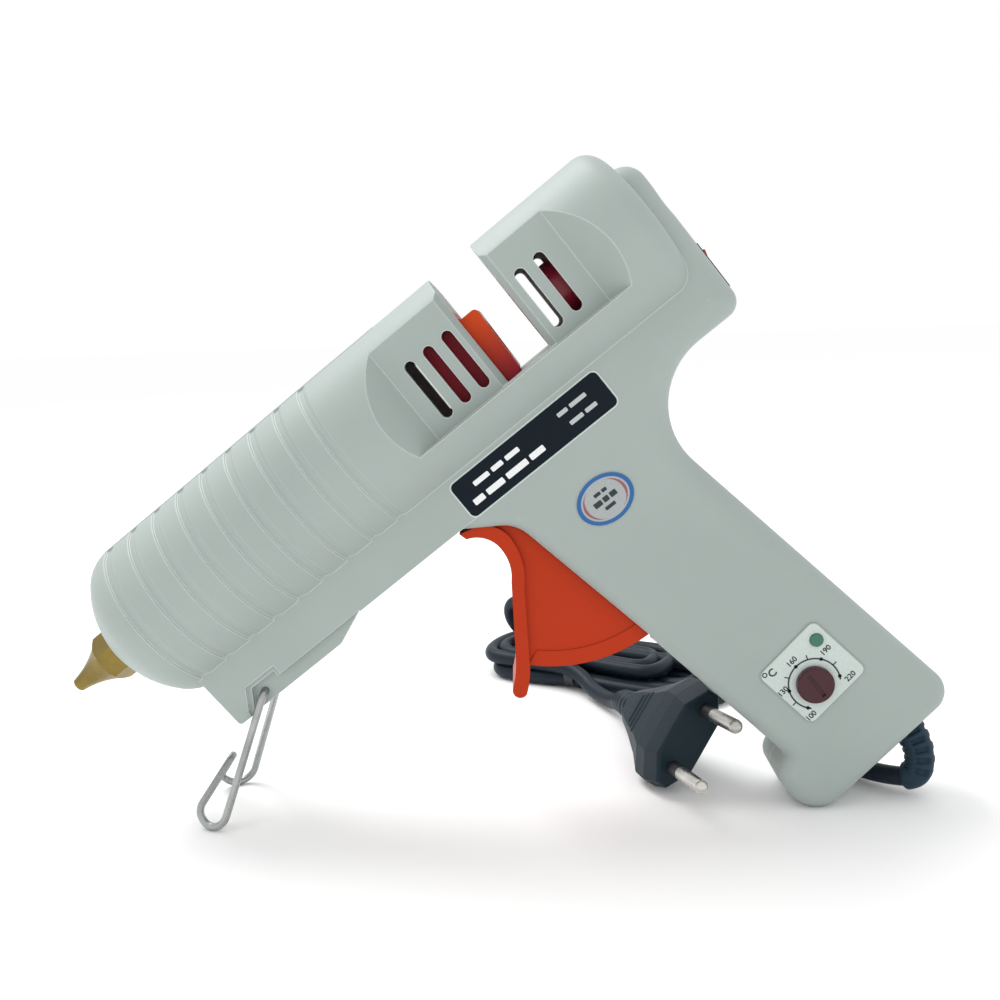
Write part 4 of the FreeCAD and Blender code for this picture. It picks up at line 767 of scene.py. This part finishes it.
def boot_piece():
    """Ribbed strain relief: four columns of notches, each column half a step from the next."""
    line = evenly(traced(BOOT_POINTS), BOOT_GAP)
    length = BOOT_GAP * (len(line) - 1)

    def radius(run, angle):
        column = round(angle / (math.pi / 2)) % 4
        off = abs((angle - column * math.pi / 2 + math.pi) % (2 * math.pi) - math.pi)
        across = 1.0 - smooth_step(off, NOTCH_FULL, NOTCH_NONE)
        step = ((run - NOTCH_START) / NOTCH_PITCH + 0.5 * (column % 2)) % 1.0
        along = smooth_step(step, 0.16, 0.28) * (1.0 - smooth_step(step, 0.66, 0.78))
        begun = smooth_step(run, NOTCH_START, NOTCH_START + NOTCH_FADE)
        over = smooth_step(run, NOTCH_END, NOTCH_END + NOTCH_FADE)
        notch = NOTCH_DEPTH * across * along * begun * (1.0 - over)
        return (BOOT_RADIUS - BOOT_TAPER * run / length) * rounded_end(run, length, BOOT_END) - notch

    return swept("cord_boot", line, radius, rubber, 96)


# Where the relief leaves the plug, in the plug's own axes, and its end on the cord, in the frame.
RELIEF_X = (-32.0, -36.5, -41.5)
RELIEF_TAIL = [(0.0395, 0.0530, 0.0092), (0.0389, 0.0590, 0.0064)]
RELIEF_GAP, RELIEF_RADIUS, RELIEF_TAPER, RELIEF_END = 0.25, 5.1, 1.7, 1.4
RING_DEPTH, RING_PITCH = 0.35, 3.0


def relief_piece():
    """The plug's own tapered relief, with shallow rings."""
    points = [tuple(PLUG @ Vector((x, 0.0, 0.0))) for x in RELIEF_X]
    line = evenly(traced(points + RELIEF_TAIL), RELIEF_GAP)
    length = RELIEF_GAP * (len(line) - 1)

    def radius(run, angle):
        ring = RING_DEPTH * smooth_step(math.sin(2 * math.pi * run / RING_PITCH), 0.2, 0.7)
        ring *= 1.0 - smooth_step(run, length - 5, length - 3)
        whole = RELIEF_RADIUS - RELIEF_TAPER * run / length
        return (whole - ring) * rounded_end(run, length, RELIEF_END)

    return swept("plug_neck_relief", line, radius, plug_plastic, 48)


# Along the plug: place, half width, half thickness, and what the corners take off each.
PLUG_SECTIONS = [(0.0, 14.6, 5.7, 7.2, 4.2), (-0.7, 15.1, 6.3, 7.2, 4.4), (-7.0, 16.6, 6.9, 7.6, 4.6),
                 (-13.0, 16.2, 6.9, 7.4, 4.6), (-18.5, 12.4, 6.7, 5.6, 4.0), (-27.0, 8.2, 6.2, 3.0, 3.0),
                 (-34.4, 5.7, 5.4, 2.4, 2.4), (-35.0, 5.1, 4.9, 2.2, 2.2)]
GRIP_PLACES = (-20.0, -22.3, -24.6)
# Half length and height of the grip ridges at a place, and how fast each grows from there.
GRIP_HALF, GRIP_HALF_FROM, GRIP_HALF_GROWTH = 5.2, 24.6, 0.42
GRIP_TOP, GRIP_TOP_FROM, GRIP_TOP_GROWTH = 6.25, 27.0, 0.045
GRIP_SUNK, GRIP_LEAN = 0.4, 0.6
GRIP_PROFILE = ((-0.75, 0.0), (-0.45, 0.55), (0.0, 0.8), (0.45, 0.55), (0.75, 0.0))


def grip_ridge(points, faces, x, face):
    """Adds one ridge across a broad face of the plug."""
    half = GRIP_HALF + (x + GRIP_HALF_FROM) * GRIP_HALF_GROWTH
    top = GRIP_TOP + (x + GRIP_TOP_FROM) * GRIP_TOP_GROWTH
    first, count = len(points), len(GRIP_PROFILE)
    for end in (-1, 1):
        points += [(x + a, end * (half - b * GRIP_LEAN), face * (top - GRIP_SUNK + b))
                   for a, b in GRIP_PROFILE]
    faces.append([first + i for i in range(count)])
    faces.append([first + count + i for i in range(count)][::-1])
    for i in range(count):
        j = (i + 1) % count
        faces.append([first + i, first + j, first + count + j, first + count + i])


def plug_piece():
    """Flat eight-sided plug moulding with softened edges and grip ridges by its neck."""
    points, faces = [], []
    for x, wide, thick, take_wide, take_thick in PLUG_SECTIONS:
        shoulder, flank = wide - take_wide, thick - take_thick
        points += [(x, wide, flank), (x, shoulder, thick), (x, -shoulder, thick), (x, -wide, flank),
                   (x, -wide, -flank), (x, -shoulder, -thick), (x, shoulder, -thick), (x, wide, -flank)]
    for k in range(len(PLUG_SECTIONS) - 1):
        for i in range(8):
            j = (i + 1) % 8
            faces.append([8 * k + i, 8 * k + j, 8 * k + 8 + j, 8 * k + 8 + i])
    faces.append(list(range(8))[::-1])
    faces.append([8 * (len(PLUG_SECTIONS) - 1) + i for i in range(8)])
    for x in GRIP_PLACES:
        for face in (-1, 1):
            grip_ridge(points, faces, x, face)
    mesh = mesh_of("plug_moulding", points, faces, PLUG)
    build = bmesh.new()
    build.from_mesh(mesh)
    bmesh.ops.recalc_face_normals(build, faces=build.faces)
    build.to_mesh(mesh)
    build.free()
    piece = add_mesh("plug_moulding", mesh, plug_plastic, smooth=False)
    bevelled(piece, width_mm=0.35, segments=3, angle=12.0)
    return piece


TIE_HALF, TIE_LOW, TIE_HIGH, TIE_CORNER = 18.3, 0.62, 11.9, 5.2
TIE_WIDE, TIE_THICK = 3.6, 0.5
# The two twisted ends: where they start across the hank, and what each step of the twist adds.
TAIL_AT, TAIL_STEPS, TAIL_RISE, TAIL_SPREAD = -4.0, 12, 0.28, 0.3
TAIL_HALF_WIDE, TAIL_HALF_THICK = 1.5, 0.25
TAIL_CLEAR = 0.2


def tie_tail(points, faces, turn):
    """Adds one twisted end of the tie."""
    first = len(points)
    wide, thick = TAIL_HALF_WIDE, TAIL_HALF_THICK
    for k in range(TAIL_STEPS + 1):
        t = math.pi * (k / 4.0 + turn)
        for c, d in ((-wide, -thick), (wide, -thick), (wide, thick), (-wide, thick)):
            x, y = c * math.cos(t) - d * math.sin(t), c * math.sin(t) + d * math.cos(t)
            across = TAIL_AT + y + TAIL_SPREAD * k * (1 - 2 * turn)
            points.append(hank(TIE_AT + x, across, TIE_HIGH + TAIL_CLEAR + TAIL_RISE * k))
    for k in range(TAIL_STEPS):
        low, high = first + 4 * k, first + 4 * k + 4
        for i in range(4):
            j = (i + 1) % 4
            faces.append([low + i, low + j, high + j, high + i])
    faces.append([first + i for i in range(4)][::-1])
    faces.append([first + 4 * TAIL_STEPS + i for i in range(4)])


def tie_piece():
    """A flat band round the hank, with its two ends twisted up on top."""
    middle, half_high = (TIE_LOW + TIE_HIGH) / 2, (TIE_HIGH - TIE_LOW) / 2
    loops = []
    for a, grow in ((-0.5, 0.0), (0.5, 0.0), (0.5, 1.0), (-0.5, 1.0)):
        out = grow * TIE_THICK
        shape = rounded_rectangle(0.0, middle, 2 * (TIE_HALF + out), 2 * (half_high + out),
                                  TIE_CORNER + out, 10)
        loops.append([hank(TIE_AT + a * TIE_WIDE, b, z) for b, z in shape])
    count = len(loops[0])
    points = [spot for loop in loops for spot in loop]
    faces = []
    for k in range(4):
        for i in range(count):
            j, m = (i + 1) % count, (k + 1) % 4
            faces.append([k * count + i, k * count + j, m * count + j, m * count + i])
    for turn in (0, 1):
        tie_tail(points, faces, turn)
    mesh = mesh_of("hank_band", points, faces)
    return add_mesh("hank_band", mesh, black, smooth=False)


boot = boot_piece()
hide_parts("strain_relief")
neck_relief = relief_piece()
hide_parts("plug_relief")
plug = plug_piece()
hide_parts("plug_body")
band = tie_piece()
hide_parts("hank_tie")

cord_points = GUN_SIDE + hank_line() + PLUG_SIDE
cord = nurbs("mains_cord", cord_points, CORD / 2)
cord.data.materials.append(jacket.material)
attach(cord, "gun_body")
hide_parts("cord_to_gun", "cord_hank", "cord_to_plug")

# ---------------------------------------------------------------------------------------------
# Stage: pale floor, soft light and the camera
# ---------------------------------------------------------------------------------------------
floor_look = Look("floor_paper", (0.99, 0.99, 0.99), 0.9, Specular_IOR_Level=0.0)
floor_fibres = floor_look.noise(260.0, 4.0)
floor_look.bump(floor_fibres, 0.08, 0.05)
FLOOR_HALF, FLOOR_BELOW = 8, 0.00005
floor_corners = [(x * FLOOR_HALF, y * FLOOR_HALF, 0) for x, y in ((-1, -1), (1, -1), (1, 1), (-1, 1))]
floor_mesh = mesh_of("floor", floor_corners, [(0, 1, 2, 3)])
floor = bpy.data.objects.new("floor", floor_mesh)
bpy.context.collection.objects.link(floor)
floor.data.materials.append(floor_look.material)
floor.location.z = -FLOOR_BELOW

world = bpy.data.worlds.new("studio")
world.use_nodes = True
world.node_tree.nodes["Background"].inputs["Color"].default_value = (1.0, 1.0, 1.0, 1.0)
world.node_tree.nodes["Background"].inputs["Strength"].default_value = 1.0
bpy.context.scene.world = world
bpy.context.scene.view_settings.view_transform = "Standard"


def soft_light(name, place, target, size, watts):
    data = bpy.data.lights.new(name, "AREA")
    data.shape = "DISK"
    data.size = size
    data.energy = watts
    lamp = bpy.data.objects.new(name, data)
    lamp.location = place
    lamp.rotation_euler = (Vector(target) - Vector(place)).to_track_quat("-Z", "Y").to_euler()
    bpy.context.collection.objects.link(lamp)


MIDDLE = (cad_low + cad_high) / 2
soft_light("key_light", (-0.45, 0.35, 0.95), MIDDLE, 0.7, 7.0)

camera_data = bpy.data.cameras.new("camera")
camera_data.sensor_width = 36.0
camera_data.lens = 38.7
camera_data.clip_start = 0.01
camera = bpy.data.objects.new("camera", camera_data)
CAMERA_AT = Vector((0.0082, -0.2900, 0.1344))
CAMERA_RIGHT = Vector((0.999254, 0.016519, -0.034895))
CAMERA_UP = Vector((0.031754, 0.162442, 0.986207))
CAMERA_BACK = CAMERA_RIGHT.cross(CAMERA_UP)
camera.matrix_world = Matrix.Translation(CAMERA_AT) @ Matrix(
    (CAMERA_RIGHT, CAMERA_UP, CAMERA_BACK)).transposed().to_4x4()
bpy.context.collection.objects.link(camera)
bpy.context.scene.camera = camera
